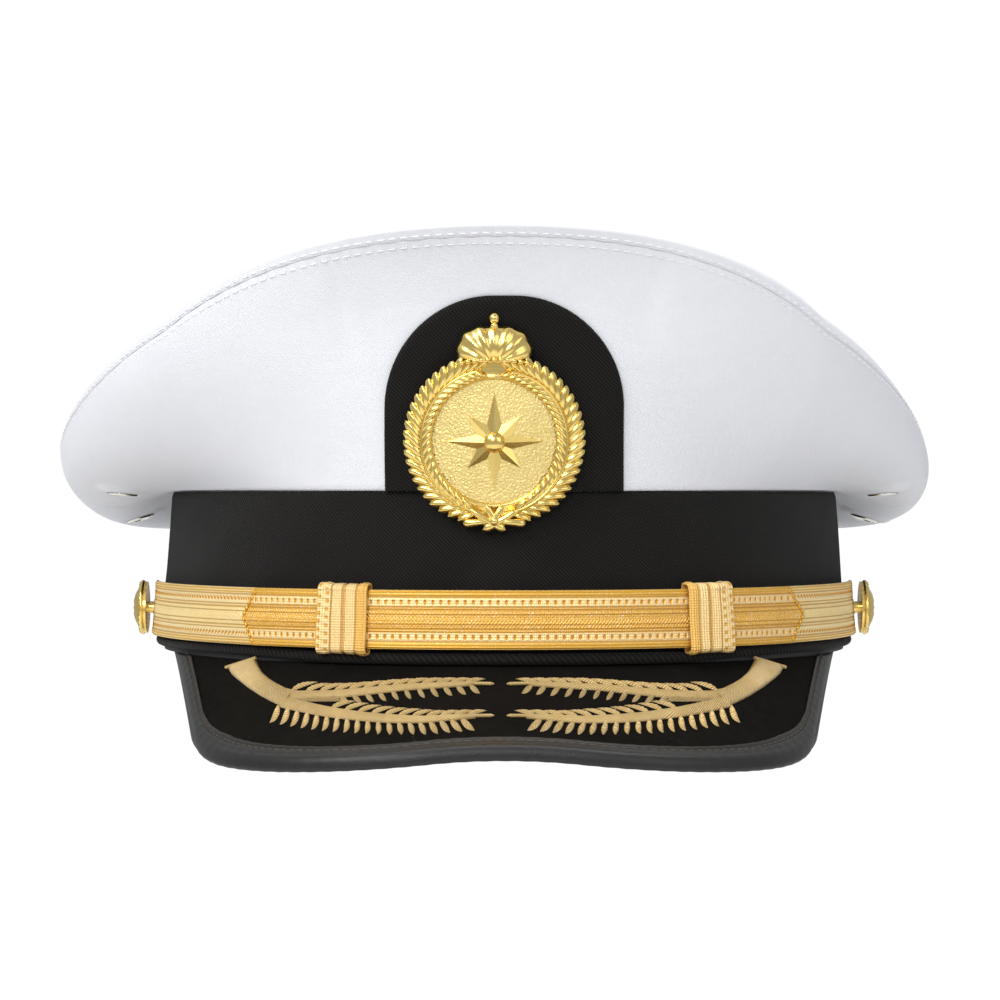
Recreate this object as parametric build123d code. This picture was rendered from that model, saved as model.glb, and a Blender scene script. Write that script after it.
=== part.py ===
from build123d import *
from math import atan2, ceil, comb, cos, degrees, hypot, pi, radians, sin
import os

# Military officer's peaked cap, one STEP file per piece, in millimetres.
#
# The origin is the middle of the head opening, level with the lower edge of the band. +Z is up, the visor
# points along -Y and the wearer's left is +X. Every wall of the band is an oval of four arcs, so a place on
# it is given by t, the direction that the wall faces there in degrees: 0 at the forehead, 90 at the
# wearer's left, 180 at the nape. An offset is a distance outside the band's lower outer edge.

# ---------------------------------------------------------------------------------- driving sizes
# Head opening, measured inside the sweatband.
HEAD_LENGTH = 204.0
HEAD_WIDTH = 166.0
FOREHEAD_FLATNESS = 10.0  # half the outer width less the radius of the forehead and nape arcs

# Band, from the head outwards.
SWEATBAND_THICKNESS = 1.4
SWEATBAND_HEIGHT = 35.0
FITTING_GAP = 2.1  # room behind the sweatband for the side buttons' nuts
STIFFENER_THICKNESS = 1.5
COVER_THICKNESS = 1.0
BAND_HEIGHT = 40.0
BAND_TAPER = 3.0  # how far the wall leans in by its top edge
REED_RADIUS = 0.6
PIPING_RADIUS = 1.25
PIPING_PROUD = 0.75  # the piping's middle, outside the band's face
SEAM_GAP = 0.1  # between pieces that are sewn edge to edge

# Crown: five stations from forehead to nape, 45 degrees apart. Each is the six control points of a
# smooth curve from the band's top edge to the rim, as (outward, upward) from that edge.
CROWN_STATIONS = (
    ((0, 0), (0.5, 12), (3, 24), (6, 38.5), (11.5, 50.2), (19.5, 59.5)),
    ((0, 0), (4.5, 8), (9.7, 16.3), (16.2, 26.6), (21.8, 37), (22, 45)),
    ((0, 0), (8, -2), (15, -7.5), (27, -7), (27.8, 4), (25.4, 9)),
    ((0, 0), (6, -7), (12, -15), (27, -14), (29, 2), (26, 12)),
    ((0, 0), (5, -6), (10, -13), (24, -12), (27, 4), (24, 17)),
)
CROWN_SWAY = 3.2  # how far the rim leans towards the wearer's right
CROWN_CLOTH = 1.0
TOP_SAG = 9.0  # how far the middle of the top panel hangs below its rim
LAYER_GAP = 0.3
HOOP_THICKNESS = 1.2
HOOP_SPAN = (0.68, 0.90)  # share of the crown's profile that the hoop backs
STAY_THICKNESS = 1.0
STAY_HALF_ANGLE = 27.0
STAY_SPAN = (0.03, 0.64)
LINING_DEPTH = 4.0  # behind the cloth's face
LINING_THICKNESS = 0.6
LINING_SHARE = 0.84  # share of the crown's profile that the side lining climbs
CEILING_GAP = 0.7  # between the side lining's upper edge and the top lining
SHIELD_LENGTH = 150.0
SHIELD_WIDTH = 110.0
SHIELD_THICKNESS = 0.4

# Ventilation eyelets, in front of and behind each side seam.
VENT_SWING = 10.0  # degrees from the side seam
VENT_SHARE = 0.33  # share of the crown's profile
VENT_BORE_RADIUS = 2.0
VENT_WALL = 0.5
VENT_FLANGE_RADIUS = 4.0
VENT_FLANGE_THICKNESS = 0.5
VENT_SEAT = 0.1  # the flange's back, outside the cloth's face at the middle
VENT_WASHER_RADIUS = 3.4
VENT_TAIL = 1.2  # how far the eyelet's tube goes behind the cloth

# Cap badge and the dark patch behind it.
PATCH_HALF_WIDTH = 27.5
PATCH_RISE = 44.5  # above the band's top edge
PATCH_CORNER_RADIUS = 20.0
PATCH_THICKNESS = 1.2
PATCH_HALF_ANGLE = 26.0
BADGE_DROP = 8.5  # of the badge's lowest point, below the band's top edge
BADGE_SHIFT = 2.3  # towards the wearer's right
BADGE_RADIUS = 20.4
BADGE_GAP = 0.3  # between the badge's back and what it lies against
BADGE_BEND_RADIUS = 78.0
BADGE_THICKNESS = 1.0
FIELD_RADIUS = 14.8
WREATH_RISE = 2.0
WREATH_LEAVES = 20
STAR_POINTS = 8
STAR_RADIUS = 11.5
STAR_WAIST_RADIUS = 4.6
STAR_RISE = 1.2
FINIAL_WIDTH = 15.0
FINIAL_HEIGHT = 9.0
FINIAL_BALL_RADIUS = 1.6
FINIAL_RISE = 1.6
POST_RADIUS = 1.0
POST_CLEARANCE = 0.3
POST_PLACES = (-2.0, 10.0)  # heights of the two posts from the badge's middle
POST_LENGTH = 13.0
NUT_RADIUS = 3.4
NUT_THICKNESS = 1.8

# Visor.
VISOR_SLOPE = 25.0
VISOR_REACH = 35.0  # forward of the band
VISOR_NARROWING = 23.0  # each side line, inside the band's half width at the visor's front
VISOR_SPLAY = 9.0  # degrees that each side line opens towards the rear
VISOR_CORNER_RADIUS = 60.0
VISOR_CLOTH = 0.8
VISOR_CORE = 1.1
VISOR_LINING = 0.5
BINDING_THICKNESS = 0.5
BINDING_WIDTH = 5.8
VISOR_TUCK = 4.5  # how far the visor reaches in under the band

# Embroidery on the visor. A place on it is (t, slope distance from the band).
THREAD_RISE = 1.0
STEM_ROUTE = ((51.7, 3.0), (46.5, 10.0), (41.6, 16.1), (35.0, 19.5))
UPPER_ROUTE = ((38.5, 17.0), (28.5, 13.2), (16.7, 9.2), (6.1, 7.3), (2.0, 7.8))
LOWER_ROUTE = ((36.0, 19.5), (28.9, 22.9), (20.3, 24.6), (10.8, 24.4), (2.0, 23.4))
STEM_WIDTH = 6.4
BRANCH_WIDTH = 2.4
LEAF_LENGTH = 5.2
LEAF_WIDTH = 1.5
LEAF_ANGLE = 35.0
LEAF_COUNT = 11

# Chin strap, in layers that count outwards from the band's face.
STRAP_BOTTOM = 3.7
STRAP_WIDTH = 13.6
LACE_THICKNESS = 0.8
KEEPER_STANDOFF = 0.9
KEEPER_WALL = 0.6
KEEPER_CLEARANCE = 0.2
STRAP_CLEARANCE = 0.1
KEEPER_HALF_ANGLE = 5.0
KEEPER_ANGLE = 31.7
TIP_ANGLE = 54.1
TIP_LENGTH = 4.5
STRAP_SHIFT = 4.4  # the whole front strap sits this many degrees towards the wearer's left
STRAP_MEET_ANGLE = 3.0
TAB_LENGTH = 7.0  # strap beyond the button's shank

# Side buttons, whose shanks the chin strap swings on.
BUTTON_FORWARD = 15.0
BUTTON_RADIUS = 7.0
BUTTON_RISE = 2.4
BUTTON_SHELL = 0.5
BUTTON_BACK_THICKNESS = 0.6
BUTTON_STANDOFF = 4.1  # the button's back, outside the band's face
SHANK_RADIUS = 1.5
SHANK_CLEARANCE = 0.1
TAB_HOLE_CLEARANCE = 0.4
GROMMET_WALL = 0.5
GROMMET_FLANGE_RADIUS = 3.4
GROMMET_FLANGE_THICKNESS = 0.4
BUTTON_NUT_RADIUS = 2.2
BUTTON_NUT_THICKNESS = 0.8
BUTTON_NUT_GAP = 0.5

SIDES = (("left", 1), ("right", -1))

# --------------------------------------------------------------------------------- the band's oval
WALL = SWEATBAND_THICKNESS + FITTING_GAP + STIFFENER_THICKNESS + COVER_THICKNESS
HALF_LENGTH = HEAD_LENGTH / 2 + WALL
HALF_WIDTH = HEAD_WIDTH / 2 + WALL
END_RADIUS = HALF_WIDTH - FOREHEAD_FLATNESS
END_CENTRE = HALF_LENGTH - END_RADIUS
SIDE_RADIUS = (END_CENTRE**2 + HALF_WIDTH**2 - END_RADIUS**2) / (2 * FOREHEAD_FLATNESS)
SIDE_CENTRE = SIDE_RADIUS - HALF_WIDTH
JOIN_ANGLE = degrees(atan2(SIDE_CENTRE, END_CENTRE))
LEAN = BAND_TAPER / BAND_HEIGHT
BADGE_FOOT = BAND_HEIGHT - BADGE_DROP


def facing(t):
    """Direction that the wall faces at t."""
    return Vector(sin(radians(t)), -cos(radians(t)), 0)


def wall_point(t, offset=0.0, z=0.0):
    """Point of the oval with that offset, at height z."""
    t = (t + 180) % 360 - 180
    if abs(t) <= JOIN_ANGLE:
        centre, radius = Vector(0, -END_CENTRE, z), END_RADIUS
    elif abs(t) < 180 - JOIN_ANGLE:
        centre, radius = Vector(-SIDE_CENTRE if t > 0 else SIDE_CENTRE, 0, z), SIDE_RADIUS
    else:
        centre, radius = Vector(0, END_CENTRE, z), END_RADIUS
    return centre + facing(t) * (radius + offset)


def arcs(offset, z, t0, t1):
    """The oval from t0 to t1: one arc for each stretch of one radius."""
    joins = [turn * 180 + side * JOIN_ANGLE for turn in range(-2, 4) for side in (-1, 1)]
    stops = [t0, *sorted(t for t in joins if t0 + 1e-6 < t < t1 - 1e-6), t1]
    return [
        ThreePointArc(*(wall_point(t, offset, z) for t in (a, (a + b) / 2, b)))
        for a, b in zip(stops, stops[1:])
    ]


def oval(offset, z):
    """The whole oval as a face."""
    return Face(Wire(arcs(offset, z, -JOIN_ANGLE, 360 - JOIN_ANGLE)))


def wall(inner, outer, z0, z1, t0=None, t1=None):
    """Leaning wall between two distances from the band's face, all the way round or from t0 to t1."""
    if t0 is None:
        shells = [loft([oval(out - LEAN * z, z) for z in (z0, z1)], ruled=True) for out in (inner, outer)]
        return shells[1] - shells[0]
    faces = []
    for z in (z0, z1):
        low, high = inner - LEAN * z, outer - LEAN * z
        ends = [Line(wall_point(t, low, z), wall_point(t, high, z)) for t in (t0, t1)]
        faces.append(Face(Wire([*arcs(high, z, t0, t1), *arcs(low, z, t0, t1), *ends])))
    return loft(faces, ruled=True)


def disc(place, direction, radius, start, length):
    """Cylinder about a line through place, from start along the direction."""
    plane = Plane(origin=place + direction * start, z_dir=direction)
    return extrude(plane * Circle(radius), amount=length)


# ---------------------------------------------------------------------------------------- the crown
def around(values, t):
    """Smooth closed curve through five values, 45 degrees apart: a cosine series in t."""
    weights = (0.5, 1, 1, 1, 0.5)
    total = 0.0
    for k in range(5):
        term = sum(w * v * cos(j * k * pi / 4) for j, (w, v) in enumerate(zip(weights, values))) / 2
        total += weights[k] * term * cos(k * radians(t))
    return total


def crown_point(t, u, depth=0.0):
    """Point of the crown's side at t, u of the way from the band to the rim, that deep behind its face.

    The cloth leans a little to the wearer's right, by more the nearer it is to the rim.
    """
    place, slope = [0.0, 0.0], [0.0, 0.0]
    for axis in (0, 1):
        poles = [around([station[i][axis] for station in CROWN_STATIONS], t) for i in range(6)]
        place[axis] = sum(comb(5, i) * u**i * (1 - u) ** (5 - i) * poles[i] for i in range(6))
        slope[axis] = sum(comb(4, i) * u**i * (1 - u) ** (4 - i) * (poles[i + 1] - poles[i]) for i in range(5))
    size = hypot(*slope)
    outward = place[0] - depth * slope[1] / size
    upward = place[1] + depth * slope[0] / size
    outward -= CROWN_SWAY * u**2 * sin(radians(t))
    return wall_point(t, outward - BAND_TAPER, BAND_HEIGHT + SEAM_GAP + upward)


def crown_layer(depth0, depth1, t0, t1, u0=0.0, u1=1.0, spacing=15.0, steps=8):
    """Layer of the crown's side between two depths, lofted through its cross-sections."""
    count = max(2, ceil((t1 - t0) / spacing))
    sections = []
    for i in range(count + 1):
        t = t0 + (t1 - t0) * i / count
        shares = [u0 + (u1 - u0) * k / steps for k in range(steps + 1)]
        outer = [crown_point(t, u, depth0) for u in shares]
        inner = [crown_point(t, u, depth1) for u in shares]
        edges = [Spline(*outer), Line(outer[-1], inner[-1]), Spline(*inner), Line(outer[0], inner[0])]
        sections.append(Face(Wire(edges)))
    return loft(sections)


def crown_half(depth0, depth1, front, u0=0.0, u1=1.0, past=15):
    """Layer of the front or rear half: lofted a little past the side seams and cut back to them."""
    start = -90 if front else 90
    layer = crown_layer(depth0, depth1, start - past, start + 180 + past, u0, u1)
    reach = 2 * HALF_LENGTH
    half = Pos(0, -reach / 2 if front else reach / 2, 0) * Box(2 * reach, reach, 2 * reach)
    return layer & half


def crown_ring(depth0, depth1, u0=0.0, u1=1.0):
    """Layer that goes all the way round."""
    return crown_half(depth0, depth1, True, u0, u1) + crown_half(depth0, depth1, False, u0, u1)


def crown_roof(u, depth, thickness, gap, sag):
    """Surface stretched over the upper edge of a side layer that ends at u, hanging down in the middle."""
    ring = []
    for t in range(0, 360, 10):
        face, back = crown_point(t, u, depth), crown_point(t, u, depth + thickness)
        ring.append(Vector(face.X, face.Y, max(face.Z, back.Z) + gap))
    height = (ring[0].Z + ring[18].Z) / 2 - sag
    middle = Vector((ring[0].X + ring[18].X) / 2, (ring[0].Y + ring[18].Y) / 2, height)
    return Face.make_surface(Wire([Spline(*ring, periodic=True)]), surface_points=[middle])


def slab(surface, low, high):
    """What lies between two heights above a surface."""
    return Solid.extrude(surface.moved(Location((0, 0, low))), Vector(0, 0, high - low))


def vents():
    """Name, place on the crown's face and outward direction of each ventilation eyelet."""
    found = []
    for end, swing in (("front", -VENT_SWING), ("rear", VENT_SWING)):
        for side, sign in SIDES:
            t = sign * (90 + swing)
            place = crown_point(t, VENT_SHARE)
            found.append((f"vent_eyelet_{end}_{side}", place, place - crown_point(t, VENT_SHARE, 1.0)))
    return found


def crown_face(z):
    """Offset of the front of the crown's side, or of the band below it, at height z."""
    if z <= BAND_HEIGHT:
        return -LEAN * z
    low, high = 0.0, 1.0
    for _ in range(30):
        u = (low + high) / 2
        if crown_point(0, u).Z < z:
            low = u
        else:
            high = u
    return -crown_point(0, low).Y - HALF_LENGTH


def arch(half_width, top, radius):
    """Prism along -Y with a flat-topped arch for its section, standing on the band's top edge."""
    flat = half_width - radius
    edges = [
        Line((-half_width, 0), (-half_width, top - radius)),
        ThreePointArc(
            (-half_width, top - radius),
            (-flat - radius * cos(pi / 4), top - radius + radius * sin(pi / 4)),
            (-flat, top),
        ),
        Line((-flat, top), (flat, top)),
        ThreePointArc(
            (flat, top),
            (flat + radius * cos(pi / 4), top - radius + radius * sin(pi / 4)),
            (half_width, top - radius),
        ),
        Line((half_width, top - radius), (half_width, 0)),
        Line((half_width, 0), (-half_width, 0)),
    ]
    plane = Plane(origin=(0, 0, BAND_HEIGHT), x_dir=(1, 0, 0), z_dir=(0, -1, 0))
    return extrude(plane * make_face(edges), amount=2 * HALF_LENGTH)


def make_crown(parts):
    """Top panel, the two halves of the side, what stiffens them, the lining and the eyelets."""
    front = crown_half(0, CROWN_CLOTH, True)
    rear = crown_half(0, CROWN_CLOTH, False)
    back_of_hoop = CROWN_CLOTH + LAYER_GAP
    stay_end = back_of_hoop + STAY_THICKNESS
    stay = crown_layer(back_of_hoop, stay_end, -STAY_HALF_ANGLE, STAY_HALF_ANGLE, *STAY_SPAN)
    lining = crown_ring(LINING_DEPTH, LINING_DEPTH + LINING_THICKNESS, 0.0, LINING_SHARE)
    washers = []
    for name, place, outward in vents():
        tube_radius = VENT_BORE_RADIUS + VENT_WALL
        hole = disc(place, outward, tube_radius, -CROWN_CLOTH - 3, CROWN_CLOTH + 6)
        recess = disc(place, outward, VENT_FLANGE_RADIUS + SEAM_GAP, VENT_SEAT, 6)
        front, rear = front - hole - recess, rear - hole - recess
        lining = lining - disc(place, outward, VENT_FLANGE_RADIUS + 2 * LAYER_GAP, -12, 24)
        bore = disc(place, outward, VENT_BORE_RADIUS, -5, 10)
        flange = disc(place, outward, VENT_FLANGE_RADIUS, VENT_SEAT, VENT_FLANGE_THICKNESS)
        tail = CROWN_CLOTH + VENT_TAIL
        tube = disc(place, outward, tube_radius, -tail, tail + VENT_SEAT)
        parts[name] = flange + tube - bore
        washer = disc(place, outward, VENT_WASHER_RADIUS, -tail, VENT_FLANGE_THICKNESS)
        washers.append(washer - disc(place, outward, tube_radius, -5, 10))
    parts["vent_eyelet_washers"] = washers
    for hole in badge_post_holes():
        front, stay, lining = front - hole, stay - hole, lining - hole
    parts["crown_front_quarter"] = front
    parts["crown_rear_quarter"] = rear
    parts["crown_top"] = slab(crown_roof(1.0, 0, CROWN_CLOTH, LAYER_GAP, TOP_SAG), 0, CROWN_CLOTH)
    parts["crown_hoop"] = crown_ring(back_of_hoop, back_of_hoop + HOOP_THICKNESS, *HOOP_SPAN)
    parts["crown_front_stay"] = stay
    parts["lining_side"] = lining
    ceiling = crown_roof(LINING_SHARE, LINING_DEPTH, LINING_THICKNESS, CEILING_GAP, TOP_SAG)
    parts["lining_top"] = slab(ceiling, 0, LINING_THICKNESS)
    shield_plan = extrude(Ellipse(SHIELD_WIDTH / 2, SHIELD_LENGTH / 2), amount=4 * BAND_HEIGHT)
    parts["sweat_shield"] = slab(ceiling, -LAYER_GAP - SHIELD_THICKNESS, -LAYER_GAP) & shield_plan


# ---------------------------------------------------------------------------------------- the badge
def badge_plane():
    """Plane of the badge's back at its middle: +x to the wearer's left, z outwards. It leans with the cap."""
    span = 2 * BADGE_RADIUS
    low, high = BADGE_FOOT, BADGE_FOOT + span + FINIAL_HEIGHT
    inner = crown_face(low) + BADGE_GAP
    outer = crown_face(high) + PATCH_THICKNESS + SEAM_GAP + BADGE_GAP
    lean = atan2(outer - inner, high - low)
    offset = inner + (outer - inner) * BADGE_RADIUS / (high - low)
    middle = (-BADGE_SHIFT, -HALF_LENGTH - offset, BADGE_FOOT + BADGE_RADIUS * cos(lean))
    return Plane(origin=middle, x_dir=(1, 0, 0), z_dir=(0, -cos(lean), -sin(lean)))


def badge_post_holes():
    """Cutters for the posts, through everything behind the badge."""
    radius = POST_RADIUS + POST_CLEARANCE
    return [badge_plane() * Pos(0, y, -40) * Cylinder(radius, 80) for y in POST_PLACES]


def bent(outline, low, high):
    """Flat outline raised to a slab between two heights above the badge's back, bent round an upright axis."""
    block = extrude(outline, amount=60, both=True)
    layer = Cylinder(BADGE_BEND_RADIUS + high, 200) - Cylinder(BADGE_BEND_RADIUS + low, 200)
    return badge_plane() * (block & (Pos(0, 0, -BADGE_BEND_RADIUS) * Rot(90, 0, 0) * layer))


def polar(radius, angle):
    """Flat point at a radius and an angle in degrees from straight up, clockwise."""
    return (radius * sin(radians(angle)), radius * cos(radians(angle)))


def leaf(start, angle, length, width):
    """Lens-shaped outline that starts at a point and runs at an angle from straight up, clockwise."""
    along, across = Vector(*polar(1, angle)), Vector(*polar(1, angle + 90))
    root = Vector(*start)
    tip, middle = root + along * length, root + along * (length / 2)
    bow = across * (width / 2)
    return make_face([ThreePointArc(root, middle + bow, tip), ThreePointArc(tip, middle - bow, root)])


def finial_outline():
    """Scallop shell with a small ball on top, standing on the wreath."""
    foot = BADGE_RADIUS - 1.5
    height = FINIAL_HEIGHT - 2 * FINIAL_BALL_RADIUS
    half = FINIAL_WIDTH / 2
    shell = make_face([
        ThreePointArc((-half * 0.75, foot), (0, foot + 0.8), (half * 0.75, foot)),
        ThreePointArc((half * 0.75, foot), (half * 1.02, foot + height * 0.55), (half * 0.7, foot + height)),
        ThreePointArc((half * 0.7, foot + height), (0, foot + height + 1.6), (-half * 0.7, foot + height)),
        ThreePointArc((-half * 0.7, foot + height), (-half * 1.02, foot + height * 0.55), (-half * 0.75, foot)),
    ])
    ball = Pos(0, foot + height + 1.2 + FINIAL_BALL_RADIUS) * Circle(FINIAL_BALL_RADIUS)
    return shell + ball


def make_badge(parts):
    """Patch, backing plate, wreath, star, finial, and the two posts with their nuts."""
    depth = (-SEAM_GAP - PATCH_THICKNESS, -SEAM_GAP)
    patch = crown_layer(*depth, -PATCH_HALF_ANGLE, PATCH_HALF_ANGLE, 0.005, 0.9)
    patch = patch & arch(PATCH_HALF_WIDTH, PATCH_RISE, PATCH_CORNER_RADIUS)
    for hole in badge_post_holes():
        patch = patch - hole
    parts["badge_patch"] = patch
    disc_outline = Circle(BADGE_RADIUS)
    parts["badge_plate"] = bent(disc_outline, 0, BADGE_THICKNESS)
    ring = Circle(BADGE_RADIUS - 0.8) - Circle(FIELD_RADIUS)
    leaves = []
    for i in range(WREATH_LEAVES):
        for side in (-1, 1):
            angle = side * (172 - 142 * i / (WREATH_LEAVES - 1))
            start = polar((BADGE_RADIUS + FIELD_RADIUS) / 2 + 0.6, angle)
            leaves.append(leaf(start, angle - side * 60, 4.4, 2.0))
    parts["badge_wreath"] = bent(ring, BADGE_THICKNESS, BADGE_THICKNESS + WREATH_RISE * 0.6) + bent(
        ring + leaves, BADGE_THICKNESS, BADGE_THICKNESS + WREATH_RISE
    )
    points = []
    for i in range(2 * STAR_POINTS):
        points.append(polar(STAR_WAIST_RADIUS if i % 2 else STAR_RADIUS, 180 * i / STAR_POINTS))
    star = make_face(Polyline(*points, close=True))
    parts["badge_star"] = bent(star, BADGE_THICKNESS, BADGE_THICKNESS + STAR_RISE)
    parts["badge_finial"] = bent(finial_outline() - Circle(BADGE_RADIUS + SEAM_GAP), 0, BADGE_THICKNESS + FINIAL_RISE)
    posts, nuts = [], []
    for y in POST_PLACES:
        posts.append(badge_plane() * Pos(0, y, -POST_LENGTH / 2 - 0.02) * Cylinder(POST_RADIUS, POST_LENGTH))
        nut = Cylinder(NUT_RADIUS, NUT_THICKNESS) - Cylinder(POST_RADIUS, 2 * NUT_THICKNESS)
        nuts.append(badge_plane() * Pos(0, y, NUT_THICKNESS / 2 - POST_LENGTH) * nut)
    parts["badge_posts"] = posts
    parts["badge_nuts"] = nuts


# ---------------------------------------------------------------------------------------- the band
STIFFENER_FACE = -COVER_THICKNESS
STIFFENER_BACK = STIFFENER_FACE - STIFFENER_THICKNESS
SWEATBAND_FACE = STIFFENER_BACK - FITTING_GAP
SWEATBAND_BACK = SWEATBAND_FACE - SWEATBAND_THICKNESS


def cord_round(offset, z, radius):
    """Round cord along the oval."""
    path = Wire(arcs(offset, z, -JOIN_ANGLE, 360 - JOIN_ANGLE))
    plane = Plane(origin=path @ 0, z_dir=path % 0)
    return sweep(plane * Circle(radius), path=path)


def shank_line(sign):
    """Where a side button's line meets the band's face, and the line's outward direction."""
    height = STRAP_BOTTOM + STRAP_WIDTH / 2
    across = (SIDE_RADIUS - LEAN * height) ** 2 - BUTTON_FORWARD**2
    return Vector(sign * (across**0.5 - SIDE_CENTRE), -BUTTON_FORWARD, height), Vector(sign, 0, 0)


def make_band(parts):
    """Outer cover, stiffener, piping, and the sweatband with the reed in its lower edge."""
    cover = wall(STIFFENER_FACE + SEAM_GAP / 2, 0, 2 * PIPING_RADIUS + 2 * SEAM_GAP, BAND_HEIGHT)
    stiffener = wall(STIFFENER_BACK, STIFFENER_FACE, 0, BAND_HEIGHT - CROWN_CLOTH)
    inside = COVER_THICKNESS + STIFFENER_THICKNESS
    for name, sign in SIDES:
        place, outward = shank_line(sign)
        bore = disc(place, outward, SHANK_RADIUS + SHANK_CLEARANCE, -8, 16)
        tube_radius = SHANK_RADIUS + SHANK_CLEARANCE + GROMMET_WALL
        hole = disc(place, outward, tube_radius, -8, 16)
        recess = disc(place, outward, GROMMET_FLANGE_RADIUS, -GROMMET_FLANGE_THICKNESS, 8)
        cover, stiffener = cover - hole - recess, stiffener - hole
        flange = disc(place, outward, GROMMET_FLANGE_RADIUS, -GROMMET_FLANGE_THICKNESS, GROMMET_FLANGE_THICKNESS)
        tube = disc(place, outward, tube_radius, -inside - 0.2, inside + 0.2)
        parts[f"band_grommet_{name}"] = flange + tube - bore
    parts["band_cover"] = cover
    parts["band_stiffener"] = stiffener
    parts["band_piping"] = cord_round(PIPING_PROUD, PIPING_RADIUS + SEAM_GAP, PIPING_RADIUS)
    parts["sweatband"] = wall(SWEATBAND_BACK, SWEATBAND_FACE, 2 * REED_RADIUS + SEAM_GAP, SWEATBAND_HEIGHT)
    parts["sweatband_reed"] = cord_round((SWEATBAND_FACE + SWEATBAND_BACK) / 2, REED_RADIUS, REED_RADIUS)


# ---------------------------------------------------------------------------------------- the visor
VISOR_RAY = Vector(0, -cos(radians(VISOR_SLOPE)), -sin(radians(VISOR_SLOPE)))


def sheet_below(depth):
    """All behind and below the visor's upper face, sunk by depth: the front of the oval carried down the slope.

    The sinking is shared between a step in and a step down so that it is true at the middle of the visor
    and 50 degrees to the side of it.
    """
    side = cos(radians(50))
    down = (1 - hypot(VISOR_RAY.Z, VISOR_RAY.Y * side)) / (-VISOR_RAY.Y * (1 - side))
    inward = (1 + VISOR_RAY.Y * down) / -VISOR_RAY.Z
    offset, z = -inward * depth, -down * depth
    half, back = HALF_WIDTH + offset, HALF_LENGTH
    corners = [(half, 0, z), (half, back, z), (-half, back, z), (-half, 0, z)]
    face = Face(Wire([*arcs(offset, z, -90, 90), *Polyline(*corners).edges()]))
    return Solid.extrude(face.moved(Location(VISOR_RAY * -VISOR_REACH)), VISOR_RAY * (4 * VISOR_REACH))


def visor_plan(inset=0.0):
    """Prism of the visor's outline: two side lines, a straight front and round corners."""
    splay = radians(VISOR_SPLAY)
    front = -HALF_LENGTH - VISOR_REACH + inset
    rear = -END_CENTRE
    corner_radius = VISOR_CORNER_RADIUS - inset
    half = HALF_WIDTH - VISOR_NARROWING - inset / cos(splay) + inset * sin(splay) / cos(splay)
    rear_half = half + (rear - front) * sin(splay) / cos(splay)
    outline = make_face(Polyline((-rear_half, rear), (-half, front), (half, front), (rear_half, rear), close=True))
    outline = fillet(outline.vertices().sort_by(Axis.Y)[:2], corner_radius)
    return extrude(outline, amount=2 * HALF_LENGTH, both=True)


def visor_layer(depth0, depth1, inset):
    """Layer of the visor between two depths below its upper face."""
    under = Pos(0, 0, -SEAM_GAP - HALF_LENGTH) * Box(4 * HALF_WIDTH, 4 * HALF_LENGTH, 2 * HALF_LENGTH)
    opening = Solid.extrude(oval(-VISOR_TUCK, -HALF_LENGTH), Vector(0, 0, 2 * HALF_LENGTH))
    layer = sheet_below(depth0) - sheet_below(depth1)
    return layer & visor_plan(inset) & under - opening


def visor_point(t, slope_distance):
    """Point of the visor's upper face on the slope line that starts from the band at t."""
    return wall_point(t) + VISOR_RAY * slope_distance


def flat_route(route, sign):
    """Embroidered line in plan, as a smooth curve."""
    return Spline(*[Vector(p.X, p.Y, 0) for p in (visor_point(sign * t, v) for t, v in route)])


def tapered(curve, start_width, end_width, steps=6):
    """Flat band along a curve whose width changes evenly from one end to the other."""
    sides = ([], [])
    for i in range(steps + 1):
        share = i / steps
        direction = curve % share
        half = (start_width + (end_width - start_width) * share) / 2
        across = Vector(-direction.Y, direction.X, 0) * half
        sides[0].append(curve @ share + across)
        sides[1].append(curve @ share - across)
    ends = [Line(sides[0][k], sides[1][k]) for k in (0, -1)]
    return Face(Wire([Spline(*sides[0]), Spline(*sides[1]), *ends]))


def embroidery(sign):
    """One spray: a stem that forks into two leafy branches."""
    outlines = [tapered(flat_route(STEM_ROUTE, sign), STEM_WIDTH, BRANCH_WIDTH * 1.6)]
    for route in (UPPER_ROUTE, LOWER_ROUTE):
        branch = flat_route(route, sign)
        outlines.append(tapered(branch, BRANCH_WIDTH, BRANCH_WIDTH * 0.4))
        for i in range(LEAF_COUNT):
            share = 0.12 + 0.80 * i / (LEAF_COUNT - 1)
            root, direction = branch @ share, branch % share
            heading = degrees(atan2(direction.X, direction.Y))
            for turn in (-LEAF_ANGLE, LEAF_ANGLE):
                outlines.append(leaf((root.X, root.Y), heading + turn, LEAF_LENGTH, LEAF_WIDTH))
    block = extrude(Sketch() + outlines, amount=HALF_LENGTH, both=True)
    under_piping = oval(PIPING_PROUD + PIPING_RADIUS + LAYER_GAP, -HALF_LENGTH)
    clear = Solid.extrude(under_piping, Vector(0, 0, 2 * HALF_LENGTH))
    return (block - clear) & (sheet_below(-THREAD_RISE) - sheet_below(-0.02))


def make_visor(parts):
    """Felt, board, lining, the binding round their edge, and the embroidery."""
    inset = BINDING_THICKNESS + SEAM_GAP
    core_depth = VISOR_CLOTH + VISOR_CORE
    stack = core_depth + VISOR_LINING
    parts["visor_top_cloth"] = visor_layer(0, VISOR_CLOTH, inset)
    parts["visor_core"] = visor_layer(VISOR_CLOTH, core_depth, inset)
    parts["visor_lining"] = visor_layer(core_depth, stack, inset)
    outer = visor_layer(-BINDING_THICKNESS, stack + BINDING_THICKNESS, 0)
    channel = visor_layer(-0.02, stack + 0.02, BINDING_THICKNESS)
    clear = Solid.extrude(oval(LAYER_GAP, -HALF_LENGTH), Vector(0, 0, 2 * HALF_LENGTH))
    parts["visor_binding"] = outer - channel - visor_plan(BINDING_WIDTH) - clear
    for name, sign in SIDES:
        parts[f"embroidery_{name}"] = embroidery(sign)


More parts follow.
